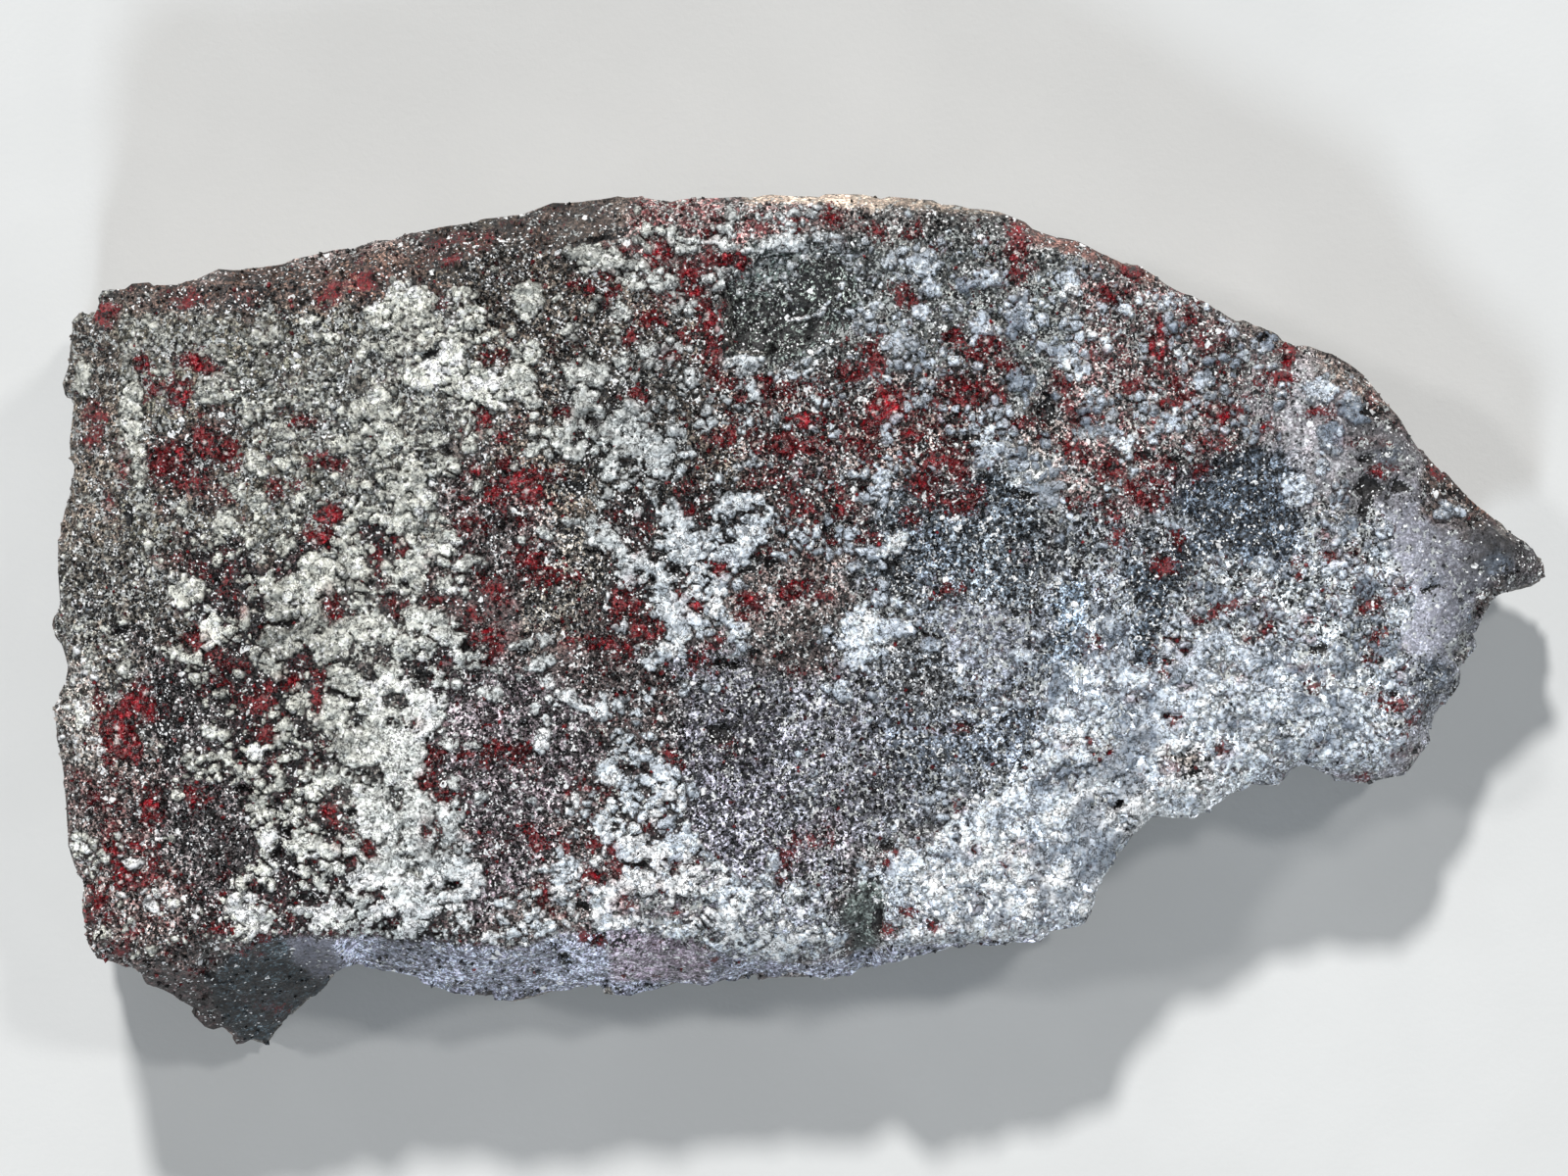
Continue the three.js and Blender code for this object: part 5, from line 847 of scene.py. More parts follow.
class Shader:
    """A node material with a Principled surface, built by short calls. Sizes and depths are in mm."""

    def __init__(self, name):
        self.material = bpy.data.materials.new(name)
        self.material.use_nodes = True
        self.tree = self.material.node_tree
        self.surface = self.tree.nodes["Principled BSDF"]
        self.place = self.vector("SCALE", self.new("ShaderNodeTexCoord").outputs["Object"], scale=1 / MM)

    def new(self, kind, **settings):
        """A new node."""
        node = self.tree.nodes.new(kind)
        for key, value in settings.items():
            setattr(node, key, value)
        return node

    def give(self, socket, value):
        """Links an output to a socket, or sets its value."""
        if isinstance(value, bpy.types.NodeSocket):
            self.tree.links.new(value, socket)
        elif value is not None:
            socket.default_value = value

    def math(self, operation, a, b=None, c=None):
        """One arithmetic step on numbers."""
        node = self.new("ShaderNodeMath", operation=operation)
        for socket, value in zip(node.inputs, (a, b, c)):
            self.give(socket, value)
        return node.outputs[0]

    def times(self, a, b):
        return self.math("MULTIPLY", a, b)

    def plus(self, a, b):
        return self.math("ADD", a, b)

    def minus(self, a, b):
        return self.math("SUBTRACT", a, b)

    def vector(self, operation, a, b=None, scale=None):
        """One arithmetic step on vectors or colours."""
        node = self.new("ShaderNodeVectorMath", operation=operation)
        self.give(node.inputs[0], a)
        self.give(node.inputs[1], b)
        if scale is not None:
            self.give(node.inputs["Scale"], scale)
        return node.outputs[0]

    def mix(self, amount, a, b):
        """Colour a, passing into colour b as the amount goes from 0 to 1."""
        node = self.new("ShaderNodeMix", data_type="RGBA")
        for socket, value in zip((node.inputs[0], node.inputs[6], node.inputs[7]), (amount, a, b)):
            self.give(socket, (*value, 1.0) if isinstance(value, tuple) and len(value) == 3 else value)
        return node.outputs[2]

    def step(self, value, low, high, start=0.0, end=1.0):
        """start where the value is at low, end where it is at high, smooth between and flat beyond them."""
        node = self.new("ShaderNodeMapRange", interpolation_type="SMOOTHSTEP")
        for socket, given in zip(node.inputs, (value, low, high, start, end)):
            self.give(socket, given)
        return node.outputs[0]

    def noise(self, size, detail=3.0):
        """Smooth noise from 0 to 1, whose bumps are about size across."""
        node = self.new("ShaderNodeTexNoise")
        self.give(node.inputs["Vector"], self.place)
        for key, value in (("Scale", 1 / size), ("Detail", detail), ("Roughness", 0.6)):
            node.inputs[key].default_value = value
        return node.outputs["Fac"]

    def cells(self, size):
        """Scattered cells about size across: the distance to the nearest centre and the cell's own colour."""
        node = self.new("ShaderNodeTexVoronoi")
        self.give(node.inputs["Vector"], self.place)
        node.inputs["Scale"].default_value = 1 / size
        return node.outputs["Distance"], node.outputs["Color"]

    def parts(self, whole):
        """A colour's three numbers."""
        node = self.new("ShaderNodeSeparateColor")
        self.give(node.inputs[0], whole)
        return node.outputs[:3]

    def layer(self, name):
        """A colour layer of the mesh."""
        return self.new("ShaderNodeAttribute", attribute_name=name).outputs["Color"]

    def facets(self, cell_colour, amount):
        """The surface normal, tipped by each cell's own colour, so that cells flash one by one."""
        offset = self.vector("SUBTRACT", cell_colour, (0.5, 0.5, 0.5))
        shift = self.vector("SCALE", offset, scale=amount)
        tipped = self.vector("ADD", self.new("ShaderNodeNewGeometry").outputs["Normal"], shift)
        return self.vector("NORMALIZE", tipped)

    def bump(self, height, depth, normal=None):
        """The surface normal, roughened by a height up to that depth."""
        node = self.new("ShaderNodeBump")
        node.inputs["Distance"].default_value = depth * MM
        self.give(node.inputs["Height"], height)
        self.give(node.inputs["Normal"], normal)
        return node.outputs[0]

    def finish(self, base, roughness, normal, **constants):
        """Connects the surface and returns the material."""
        self.give(self.surface.inputs["Base Color"], base)
        self.give(self.surface.inputs["Roughness"], roughness)
        self.give(self.surface.inputs["Normal"], normal)
        for key, value in constants.items():
            self.surface.inputs[key].default_value = value
        return self.material


def rock_material():
    """Ground in two colours, with black, pale, red and flashing cells by the amounts that vertices carry. The
    flashing comes partly from tipped normals and partly from white dots that are painted glints.
    """
    s = Shader("matrix_rock")
    tone_a, tone_b = s.layer("ground"), s.layer("second")
    white, red, black = s.parts(s.layer("cover"))
    sugar, sparkle, smooth = s.parts(s.layer("finish"))
    _, small = s.cells(0.19)
    gap, medium = s.cells(0.55)
    small_1, small_2, small_3 = s.parts(small)
    medium_1, medium_2, medium_3 = s.parts(medium)
    broad, mid, fine = s.noise(2.2, 4.0), s.noise(0.9, 3.0), s.noise(0.3, 3.0)

    def chosen(amount, wide, near, share=0.8, base=0.2):
        """1 where wide noise, and a little the cell's own number, choose the place, against the amount."""
        value = s.plus(s.times(wide, share), s.times(near, 1 - share))
        level = s.math("MULTIPLY_ADD", s.math("POWER", amount, 0.6), 0.5, base)
        return s.step(s.minus(level, value), -0.012, 0.012)

    # The ground, grain by grain lighter and darker, but less so where it is smooth.
    uneven = s.plus(s.times(medium_1, 0.4), s.times(mid, 0.6))
    ground = s.mix(s.step(uneven, 0.35, 0.62), tone_a, tone_b)
    jitter = s.times(s.step(small_1, 0.0, 1.0, 0.02, 2.3), s.step(mid, 0.36, 0.64, 0.25, 1.6))
    jitter = s.times(jitter, s.step(fine, 0.36, 0.64, 0.4, 1.6))
    grainy = s.minus(1.0, s.times(smooth, 0.8))
    jitter = s.plus(s.times(s.minus(jitter, 1.0), grainy), 1.0)
    ground = s.vector("SCALE", ground, scale=jitter)

    # What lies in it.
    ground = s.mix(s.times(chosen(sugar, mid, medium_2), 0.6), ground, colour(206, 210, 208))
    ground = s.mix(s.times(chosen(white, broad, medium_3), 0.85), ground, colour(210, 212, 205))
    # Black cells: dark grains, and painted shade in the pits of the black marks.
    ground = s.mix(chosen(black, mid, small_2, 0.6, 0.24), ground, colour(12, 9, 10))
    deep = s.mix(small_3, colour(52, 10, 15), colour(150, 26, 34))
    ground = s.mix(s.times(chosen(red, broad, small_3), 0.92), ground, deep)
    # Painted glints: white dots in clusters, as many as the sparkle asks for.
    clustered = s.times(sparkle, s.step(broad, 0.38, 0.62, 0.1, 1.95))
    for share, number in ((0.09, small_1), (0.03, medium_1)):
        glint = s.step(s.minus(s.times(clustered, share), number), -0.002, 0.002)
        ground = s.mix(s.times(glint, 0.95), ground, colour(252, 252, 252))

    rough = s.math("MULTIPLY_ADD", small_2, 0.35, 0.18)
    rough = s.plus(rough, s.times(s.minus(1.0, sparkle), 0.3))
    normal = s.facets(small, s.math("MULTIPLY_ADD", sparkle, 1.1, 0.2))
    height = s.plus(s.times(fine, 0.35), s.times(mid, 0.65))
    height = s.plus(height, s.times(gap, -0.35))
    return s.finish(ground, rough, s.bump(height, 0.30, normal), IOR=1.55)


def crystal_material(name, roughness, ior, tip, contrast):
    """A mineral whose colour each crystal carries, with its own mottling, thin dark crevice lines of painted
    shade, small facets and bump.
    """
    s = Shader(name)
    _, small = s.cells(0.2)
    small_1, small_2, _ = s.parts(small)
    mottle = s.plus(s.times(s.noise(0.6, 4.0), 1.3), s.times(small_1, 0.35))
    crevice_shade = s.math("ABSOLUTE", s.minus(s.noise(1.1, 3.0), 0.5))
    shown = s.step(mottle, 0.45, 1.15, 1 - contrast, 1 + contrast)
    # Painted shade: the tint darkened along thin crevice lines.
    shown = s.times(shown, s.step(crevice_shade, 0.006, 0.034, 0.15, 1.0))
    tint = s.vector("SCALE", s.layer("tint"), scale=shown)
    rough = s.math("MULTIPLY_ADD", small_2, 0.3, roughness)
    normal = s.bump(s.noise(0.35, 4.0), 0.12, s.facets(small, tip))
    return s.finish(tint, rough, normal, IOR=ior)


rock = rock_material()
calcite = crystal_material("calcite", roughness=0.3, ior=1.55, tip=0.45, contrast=0.55)
druse = crystal_material("druse_crystals", roughness=0.12, ior=1.6, tip=0.3, contrast=0.6)
cinnabar = crystal_material("cinnabar", roughness=0.15, ior=1.7, tip=0.5, contrast=0.6)


# ---------------------------------------------------------------- the rock

# The longest edges of its triangles on the face, down the sides, and on the back, which ends at BACK_TOP.
TOP_EDGE, SIDE_EDGE, BACK_EDGE, BACK_TOP = 0.74, 1.2, 3.0, 0.6

# The foot is below and left of these.
FOOT_TOP, FOOT_RIGHT = -31.0, -46.0

# Sizes of the cells that shape coarse and tiny grains on the face, and the breaks of the walls.
COARSE, TINY, BREAKS = 1.5, 0.8, 5.5

# How much of the walls is white, red, black and sparkling, and how sugary and how smooth they are.
WALL_COVER, WALL_SUGAR, WALL_SMOOTH = (0.06, 0.03, 0.1, 0.1), 0.1, 0.4

# Rays are dropped on the rock from this height.
DROP_HEIGHT = 60


def face_floor(points):
    """A surface a little under the face, which slopes down to the bevelled lower edge and the pointed end."""
    x, y = points[:, 0], points[:, 1]
    level = 19.5 + 0.05 * y
    level = level - 0.28 * np.maximum(x - 50, 0)
    level = level - 1.1 * np.maximum(-y - 29, 0)
    return np.maximum(level, 3.0)


def edge_limit(points):
    """Longest edge at these places: fine on the face, coarser down the sides and on the back."""
    low = np.where(points[:, 2] < BACK_TOP, BACK_EDGE, SIDE_EDGE)
    return np.where(points[:, 2] > face_floor(points), TOP_EDGE, low)


def fine_matrix():
    """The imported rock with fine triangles, its face rounded a little, except on the foot with its facets."""
    verts, tris = node_mesh("matrix")
    for scale, rounds in ((8, 0), (4, 3), (2, 2), (1, 2)):
        verts, tris = refine(verts, tris, lambda p: edge_limit(p) * scale)
        on_foot = (verts[:, 1] < FOOT_TOP) & (verts[:, 0] < FOOT_RIGHT)
        on_top = ease(normals(verts, tris)[:, 2], 0.35, 0.8) * ~on_foot
        verts[:, 2] = neighbour_mean(verts[:, 2], tris, rounds, 0.5 * on_top)
    return verts, tris


def stained(tone, tone2, marks, p):
    """The ground's two colours with the marks that are only colour."""
    tone = painted(tone, (64, 74, 86), 0.7 * marks["blue"])
    tone2 = painted(tone2, (104, 114, 126), 0.6 * marks["blue"])
    tone = painted(tone, (124, 108, 82), 0.8 * marks["tan"])
    tone = painted(tone, (104, 52, 48), 0.65 * marks["stain"])
    tone2 = painted(tone2, (86, 58, 54), 0.5 * marks["stain"])
    tone = painted(tone, (92, 38, 38), 0.5 * marks["halo"] * ease(fractal(p, 1.6, 103), -0.3, 0.3))
    return tone, tone2


def covered(amount, marks, white_marks):
    """How much of the ground is white, red, black and sparkling. At the black marks the black is painted shade
    in their pits.
    """
    red_marks = np.maximum(marks["scarlet"], marks["red"])
    white = amount["white"] * (1 - white_marks) * 0.35
    reddish = [0.85 * marks["red"], 0.45 * marks["stain"], 0.4 * marks["halo"]]
    red = np.maximum.reduce([amount["red"], marks["scarlet"], *reddish])
    red = red * (1 - 0.8 * white_marks * (1 - red_marks))
    black = np.maximum(amount["black"] * (1 - 0.7 * white_marks), 1.1 * marks["black"])
    return white, red, black, np.maximum(amount["sparkle"], 0.9 * red_marks)


def wall_colour(p):
    """Side walls and back: greyer broken rock with rusty patches, a pale lower right side and pale veins."""
    patchy = ease(fractal(p, 9.0, 71), -0.4, 0.4)
    tone = painted(linear((92, 83, 79)), (138, 133, 126), patchy)
    tone = painted(tone, (122, 84, 68), ease(fractal(p, 7.0, 83), 0.2, 0.45) * 0.65)
    pale_side = ease(p[:, 0], 2, 12) * ease(p[:, 1], 6, -4) * ease(p[:, 2], 2, 9)
    tone = painted(tone, (176, 181, 190), 0.75 * pale_side)
    tone *= np.exp(1.3 * fractal(p, 4.0, 87, 4))[:, None]
    return painted(tone, (196, 192, 184), 0.6 * ease(0.06 - np.abs(fractal(p, 8.0, 89)), 0, 0.04))


def face_share(p, out, face_up):
    """1 where the colours are the face's: on it, on the bevel below it and in a band along its upper edge."""
    bevel = ease(-p[:, 1], 30.5, 31.5) * ease(p[:, 2], 2, 4) * ease(out[:, 2], -0.15, 0.15) * (p[:, 0] < 26)
    upper_band = ease(p[:, 1], 29, 33) * ease(out[:, 2], 0.05, 0.3)
    return np.maximum.reduce([face_up, bevel, upper_band])


def relief_of(p, marks, face_up, side, sugar, smooth):
    """Cell-shaped grains on the face with pits at the black marks, and blocky breaks on the sides, in mm."""
    grainy = face_up * (1 - smooth) * (1 - 0.55 * ease(sugar, 0.3, 0.6))
    near, tiny = cells(p, COARSE, 3)[0], cells(p, TINY, 9)[0]
    relief = grainy * (0.42 * (0.5 - near) + 0.2 * (0.5 - tiny) + 0.4 * fractal(p, 3.2, 13, 4))
    relief += 0.10 * fractal(p, 1.2, 19) * (1 - 0.6 * smooth)
    relief -= (0.8 * marks["black"] + 0.5 * grainy * ease(-noise(p, 2.0, 67), 0.35, 0.7)) * face_up
    _, _, away, own = cells(p, BREAKS, 23)
    tipped = np.sum(away * (own[:, :3] - 0.5), 1)
    broken = side * (1 - 0.65 * ease(p[:, 2], 11, 18))
    return relief + broken * (1.2 * (own[:, 3] - 0.65) + 0.3 * tipped + 0.8 * fractal(p, 3.6, 29, 4))


def make_rock():
    """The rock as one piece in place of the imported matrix. Returns its surface, to drop points on."""
    verts, tris = fine_matrix()
    out = normals(verts, tris)
    face_up = ease(out[:, 2], 0.25, 0.6)
    side = (1 - face_up) * ease(out[:, 2], -0.7, -0.3)
    tone, tone2, amount = ground_at(verts)
    marks = {kind: value * face_up for kind, value in masks(verts[:, :2]).items()}
    white_marks = np.maximum.reduce([marks["bright"], marks["pale"], 0.6 * marks["dull"]])

    # Painted shade: the ground darker between the white grains.
    hollow = painted_gap_shade(verts, white_marks, amount["white"], 0.93) * face_up
    clouds = shade(verts) ** (1 - 0.7 * amount["smooth"])[:, None]
    tone, tone2 = (c * (1 - hollow)[:, None] * clouds for c in stained(tone, tone2, marks, verts))
    keep = face_share(verts, out, face_up)
    wall = wall_colour(verts)
    tone = tone * keep[:, None] + wall * (1 - keep[:, None])
    tone2 = tone2 * keep[:, None] + 0.75 * wall * (1 - keep[:, None])

    cover = np.stack(covered(amount, marks, white_marks), -1)
    cover = cover * face_up[:, None] + np.array(WALL_COVER) * (1 - face_up[:, None])
    sugar = amount["sugar"] * face_up + WALL_SUGAR * (1 - face_up)
    smooth = amount["smooth"] * keep + WALL_SMOOTH * (1 - keep)
    finish = np.stack([sugar, cover[:, 3], smooth], -1)

    verts = verts + out * relief_of(verts, marks, face_up, side, sugar, smooth)[:, None]
    verts[:, 2] = np.maximum(verts[:, 2], 0.0)
    layers = {"ground": tone, "second": tone2, "cover": cover[:, :3], "finish": finish}
    matrix = make_piece("matrix_rock", verts, tris, rock, "matrix", **layers)
    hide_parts("matrix")
    return BVHTree.FromPolygons(verts.tolist(), tris.tolist())


surface = make_rock()


def drop(at):
    """Where points dropped from above land on the rock: heights and unit normals, and whether they land."""
    down = Vector((0, 0, -1))
    height, normal, hit = np.zeros(len(at)), np.zeros((len(at), 3)), np.zeros(len(at), bool)
    for k, (x, y) in enumerate(at):
        place, facing, _, _ = surface.ray_cast(Vector((x, y, DROP_HEIGHT)), down)
        if place is not None:
            height[k], normal[k], hit[k] = place.z, facing, True
    return height, normal, hit


# ---------------------------------------------------------------- the face as a fine grid, for the crusts

# The least upward part of the rock's normal where crusts and where grains can grow.
CRUST_FACING, GRAIN_FACING = 0.25, 0.3

# Uneven places over the whole face, what each is made of, and the height of the rock there.
GRID = 0.2
counts = [int((BOX_HIGH[k] - BOX_LOW[k]) / GRID) for k in (0, 1)]
gx, gy = np.meshgrid(*(np.arange(n) for n in counts), indexing="ij")
places = np.stack([gx.ravel(), gy.ravel()], -1) + 0.5 + rng.uniform(-0.28, 0.28, (gx.size, 2))
places = places * GRID + BOX_LOW[:2]
flat_places = flat3(places)
tone, _, amount = ground_at(places)
cover = masks(places)
reds = np.maximum(cover["scarlet"], cover["red"])
lightness = light(places)
right_end = ease(places[:, 0], 4, 14)
rock_height, facing, landed = drop(places)
level_ground = landed & (facing[:, 2] > CRUST_FACING)

# Four places make a quad, which is cut along either diagonal in turn.
corner = (gx * counts[1] + gy)[:-1, :-1].ravel()
quads = np.stack([corner, corner + counts[1], corner + counts[1] + 1, corner + 1], -1)
flip = ((quads[:, 0] + quads[:, 0] // counts[1]) % 2).astype(bool)[:, None, None]
quad_tris = np.where(flip, quads[:, [[0, 1, 3], [1, 2, 3]]], quads[:, [[0, 1, 2], [0, 2, 3]]])

# A crust has no quad that spans more height than this, it starts this deep in the rock, and it rises at least
# this much where it stands up. Places that want less of it than LEAST_WANTED have none.
TALLEST_QUAD, ROOT, LEAST_RISE, LEAST_WANTED = 1.3, 0.15, 0.04, 0.08

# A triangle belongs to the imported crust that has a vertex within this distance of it, seen from above.
REACH = 2.6
crusts = sorted(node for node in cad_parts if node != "matrix")


def spread(wanted, size, seed, thick, tilt=0.0, gap=0.3, rough=0.28, single=0.2):
    """A connected crust over the face: how far up it stands from 0 to 1, its height, and its cells' numbers.
    The cells are domes that run into each other, with gaps between them where there is little of it. thick is
    how far they rise, and tilt how much they lean. gap, rough and single say how deep the gaps are, how
    ragged the crust's edge is, and how far cells differ from their neighbours."""
    inside = level_ground & (wanted > LEAST_WANTED)
    p = flat_places[inside]
    first, second, away, own = cells(p, size, seed, 1)
    level = wanted[inside] + rough * fractal(p, 1.5, seed + 3, 3) + single * (own[:, 3] - 0.5)
    border = 1 - ease(second - first, 0.02, 0.3)
    level -= border * (gap * (1.35 - wanted[inside]) + 0.35 * ease(noise(p, 2.2, seed + 6), -0.2, 0.5))
    dome = np.clip(1 - (first / 0.85) ** 2, 0, 1)
    up, height, numbers = np.zeros(len(places)), np.zeros(len(places)), np.zeros((len(places), 4))
    up[inside] = ease(level, 0.26, 0.62)
    rise = thick * (0.35 + 0.65 * dome) * (0.6 + 0.8 * own[:, 2])
    rise += tilt * np.sum(away * (own[:, :3] - 0.5), 1)
    height[inside] = rock_height[inside] - ROOT + 0.17 * ease(up[inside], 0, 0.35)
    height[inside] += ease(up[inside], 0.35, 0.9) * np.maximum(rise, LEAST_RISE)
    height[inside] += 0.05 * noise(p, 0.45, seed + 9) * up[inside]
    numbers[inside] = own
    return up, height, numbers


def sheet(up, height):
    """The crust's vertices, the triangles that show above the rock, and which places the vertices are."""
    level = (height[quads] > 0).all(1) & (np.ptp(height[quads], axis=1) < TALLEST_QUAD)
    chosen = quad_tris[(up[quads] > 0).any(1) & level].reshape(-1, 3)
    used, index = np.unique(chosen, return_inverse=True)
    return np.column_stack([places[used], height[used]]), index.reshape(-1, 3), used


def nearest_crust(kind, points):
    """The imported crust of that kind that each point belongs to, or nothing."""
    found = [
        (v.co.x / MM, v.co.y / MM, node)
        for node in crusts if node.startswith(kind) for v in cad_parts[node].data.vertices
    ]
    tree = KDTree(len(found))
    for k, (x, y, _) in enumerate(found):
        tree.insert((x, y, 0), k)
    tree.balance()
    near = [tree.find((x, y, 0)) for x, y, _ in points]
    return np.array([found[k][2] if distance < REACH else "" for _, k, distance in near])


def crust_pieces(kind, verts, tris, tint, material, ending, loose_name):
    """A piece in place of each packed crust of that kind, of the triangles near it, and one of the rest."""
    owner = nearest_crust(kind, verts[tris].mean(1))
    for node in [node for node in crusts if node.startswith(kind)] + [""]:
        used, index = np.unique(tris[owner == node], return_inverse=True)
        name = node + ending if node else loose_name
        look = {"smooth": kind == "calcite", "tint": tint[used]}
        piece = make_piece(name, verts[used], index.reshape(-1, 3), material, kind, **look)
        if node:
            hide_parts(node)


# ---------------------------------------------------------------- pale crusts


def pale_tint(p, value):
    """White of that brightness: creamy at the left end and bluish at the right, partly painted light, the warm
    and the bluish tints of the light on the two sides.
    """
    cool = ease(p[:, 0] - 0.5 * p[:, 1], -52, 4)[:, None]
    warm = np.array((1.0, 1.0, 0.95)) * (1 - cool) + np.array((0.94, 0.98, 1.03)) * cool
    return linear(np.clip(value[:, None] * warm, 0, 250))


def gap_shade_and_stain():
    """What shows between a crust's grains and on its low edges: the ground darkened as painted shade, blood-red
    in places and rusty at the right end.
    """
    tint = tone * shade(places) * (0.05 + 0.4 * right_end)[:, None]
    tint *= 0.4 + 1.2 * rng.uniform(size=(len(places), 1))
    bloody = ease(fractal(flat_places, 1.8, 55), 0.0, 0.3) * (1 - right_end)
    tint = painted(tint, (54, 10, 14), 0.8 * bloody)
    rusty = ease(fractal(flat_places, 2.0, 57), -0.05, 0.2) * right_end
    uneven = linear((92, 52, 50)) * rng.uniform(0.3, 1.4, (len(places), 1))
    return tint + (uneven - tint) * 0.8 * rusty[:, None]


gap_shade_tint = gap_shade_and_stain()
bluish = ease(fractal(flat_places, 4.5, 59, 3), 0.02, 0.3) * right_end


def clad(up, value, own):
    """Pale tint of a crust where it stands up, with dark specks and white specks that are painted glints, and
    the gaps' painted shade and stain where it is low.
    """
    body = pale_tint(places, value + 50 * (own[:, 1] - 0.5) + 15 * rng.normal(size=len(places)))
    speck = rng.uniform(size=len(places))
    body[speck < 0.05] *= 0.15
    body = np.minimum(body * lightness[:, None], 0.9)
    # White specks are painted glints.
    body[speck > 0.94] = linear((252, 252, 250))
    body = painted(body, (150, 74, 72), np.clip(0.55 * cover["stain"] + 0.4 * reds, 0, 0.7))
    body = painted(body, (98, 110, 126), 0.75 * bluish)
    return gap_shade_tint + (body - gap_shade_tint) * ease(up, 0.4, 0.72)[:, None]


def white_crust():
    """White crust: thick where it stands out, thinner and greyer between. Returns how much of it there is."""
    patch = ease(fractal(flat_places, 2.4, 5, 4), -0.35, 0.35)
    between = amount["white"] * (0.25 + 1.25 * patch) * (1 - 0.6 * cover["stain"]) * lightness**0.6
    wanted = np.maximum.reduce([0.95 * cover["bright"], 0.86 * cover["pale"], 0.8 * cover["dull"], between])
    wanted *= (1 - 0.9 * cover["black"]) * (1 - 0.75 * reds)
    up, height, own = spread(wanted, size=1.15, seed=301, thick=0.75, gap=0.42, single=0.42)
    verts, tris, used = sheet(up, height)
    value = 209 + 32 * cover["bright"] - 28 * cover["dull"] * (1 - cover["bright"])
    value += 44 * fractal(flat_places, 2.5, 41, 3)
    tint = clad(up, value, own)[used]
    crust_pieces("calcite", verts, tris, tint, calcite, "_crust", "calcite_between")
    return wanted


def sugary_crust(white):
    """Low pale crust of the right end and of all sugary ground, with finer cells, where the white isn't."""
    wanted = 1.1 * amount["sugar"] + 0.3 * fractal(flat_places, 4.0, 95, 2) * (amount["sugar"] > 0.3)
    taken = np.maximum.reduce([cover["black"], reds, ease(white, 0.35, 0.6)])
    wanted = np.minimum(wanted, 0.9) * (1 - taken)
    wanted *= (amount["smooth"] < 0.6) & (amount["sugar"] > 0.22)
    wanted *= 1 - 0.9 * right_end * ease(fractal(flat_places, 1.3, 99, 2), 0.22, 0.42)
    up, height, own = spread(wanted, size=0.75, seed=351, thick=0.28, gap=0.2, rough=0.35)
    verts, tris, used = sheet(up, height)
    value = 212 + 74 * fractal(flat_places, 2.6, 93, 4) - 22 * (1 - right_end) - 26 * cover["blue"]
    make_piece("sugary_crust", verts, tris, calcite, "calcite", tint=clad(up, value, own)[used])


sugary_crust(white_crust())


# ---------------------------------------------------------------- cinnabar


def cinnabar_crusts():
    """Low crystals with flat faces, some black and a few pale among them, browner away from the scarlet, and
    darker where the crust is low, as painted shade.
    """
    wanted = np.maximum(0.92 * cover["scarlet"], 0.6 * cover["red"]) * (1 - cover["black"])
    up, height, own = spread(
        wanted, size=0.5, seed=401, thick=0.3, tilt=0.9, gap=0.15, rough=0.8, single=0.35,
    )
    verts, tris, used = sheet(up, height)
    value = 0.15 + 0.6 * own[:, 1] + 0.3 * cover["scarlet"] * own[:, 0]
    brown = ease(fractal(flat_places, 1.6, 58, 3), 0.0, 0.3) * (1 - 0.6 * cover["scarlet"])
    tint = painted(linear((176, 18, 36)), (132, 58, 58), brown) * value[:, None]
    tint[own[:, 2] < 0.2] *= 0.1
    tint[own[:, 2] > 0.93] = linear((212, 196, 192))
    # Painted shade: darker where the crust is low, at its edges and in its gaps.
    tint *= (0.15 + 0.85 * ease(up, 0.3, 0.8))[:, None]
    crust_pieces("cinnabar", verts, tris, tint[used], cinnabar, "_crystals", "cinnabar_specks")


cinnabar_crusts()


# ---------------------------------------------------------------- single grains and crystals

GRAIN_SPACING, DRUSE_SPACING = 1.5, 0.42

# The turn in radians from one place to the next on a spiral that fills an ellipse evenly.
SPIRAL_TURN = 2.4


def pebble():
    """A ball of 80 triangles, from an icosahedron with edges 2 long, split once: vertices and faces."""
    g = (1 + 5**0.5) / 2
    v = [(-1, g, 0), (1, g, 0), (-1, -g, 0), (1, -g, 0), (0, -1, g), (0, 1, g), (0, -1, -g), (0, 1, -g),
         (g, 0, -1), (g, 0, 1), (-g, 0, -1), (-g, 0, 1)]
    f = [(0, 11, 5), (0, 5, 1), (0, 1, 7), (0, 7, 10), (0, 10, 11), (1, 5, 9), (5, 11, 4), (11, 10, 2),
         (10, 7, 6), (7, 1, 8), (3, 9, 4), (3, 4, 2), (3, 2, 6), (3, 6, 8), (3, 8, 9), (4, 9, 5), (2, 4, 11),
         (6, 2, 10), (8, 6, 7), (9, 8, 1)]
    v, f = refine(np.array(v, float), np.array(f), lambda p: np.full(len(p), 1.4))
    return v / np.linalg.norm(v, axis=1, keepdims=True), f


def pointed():
    """A crystal of 8 triangles, with a point at each end."""
    ring, ends = [(1, 0, 0), (0, 1, 0), (-1, 0, 0), (0, -1, 0)], [(0, 0, 1), (0, 0, -1)]
    upper = [(k, (k + 1) % 4, 4) for k in range(4)]
    lower = [((k + 1) % 4, k, 5) for k in range(4)]
    return np.array(ring + ends, float), np.array(upper + lower)


def turned(axis, spin, lean):
    """Rotation matrices that take +Z to the axes, leaned at random by up to lean, with a spin about them."""
    axis = axis + lean * rng.normal(size=axis.shape)
    axis /= np.linalg.norm(axis, axis=1, keepdims=True)
    helper = np.where(np.abs(axis[:, :1]) > 0.8, [[0.0, 1, 0]], [[1.0, 0, 0]])
    u = np.cross(helper, axis)
    u /= np.linalg.norm(u, axis=1, keepdims=True)
    w = np.cross(axis, u)
    c, s = np.cos(spin)[:, None], np.sin(spin)[:, None]
    return np.stack([u * c + w * s, w * c - u * s, axis], 2)


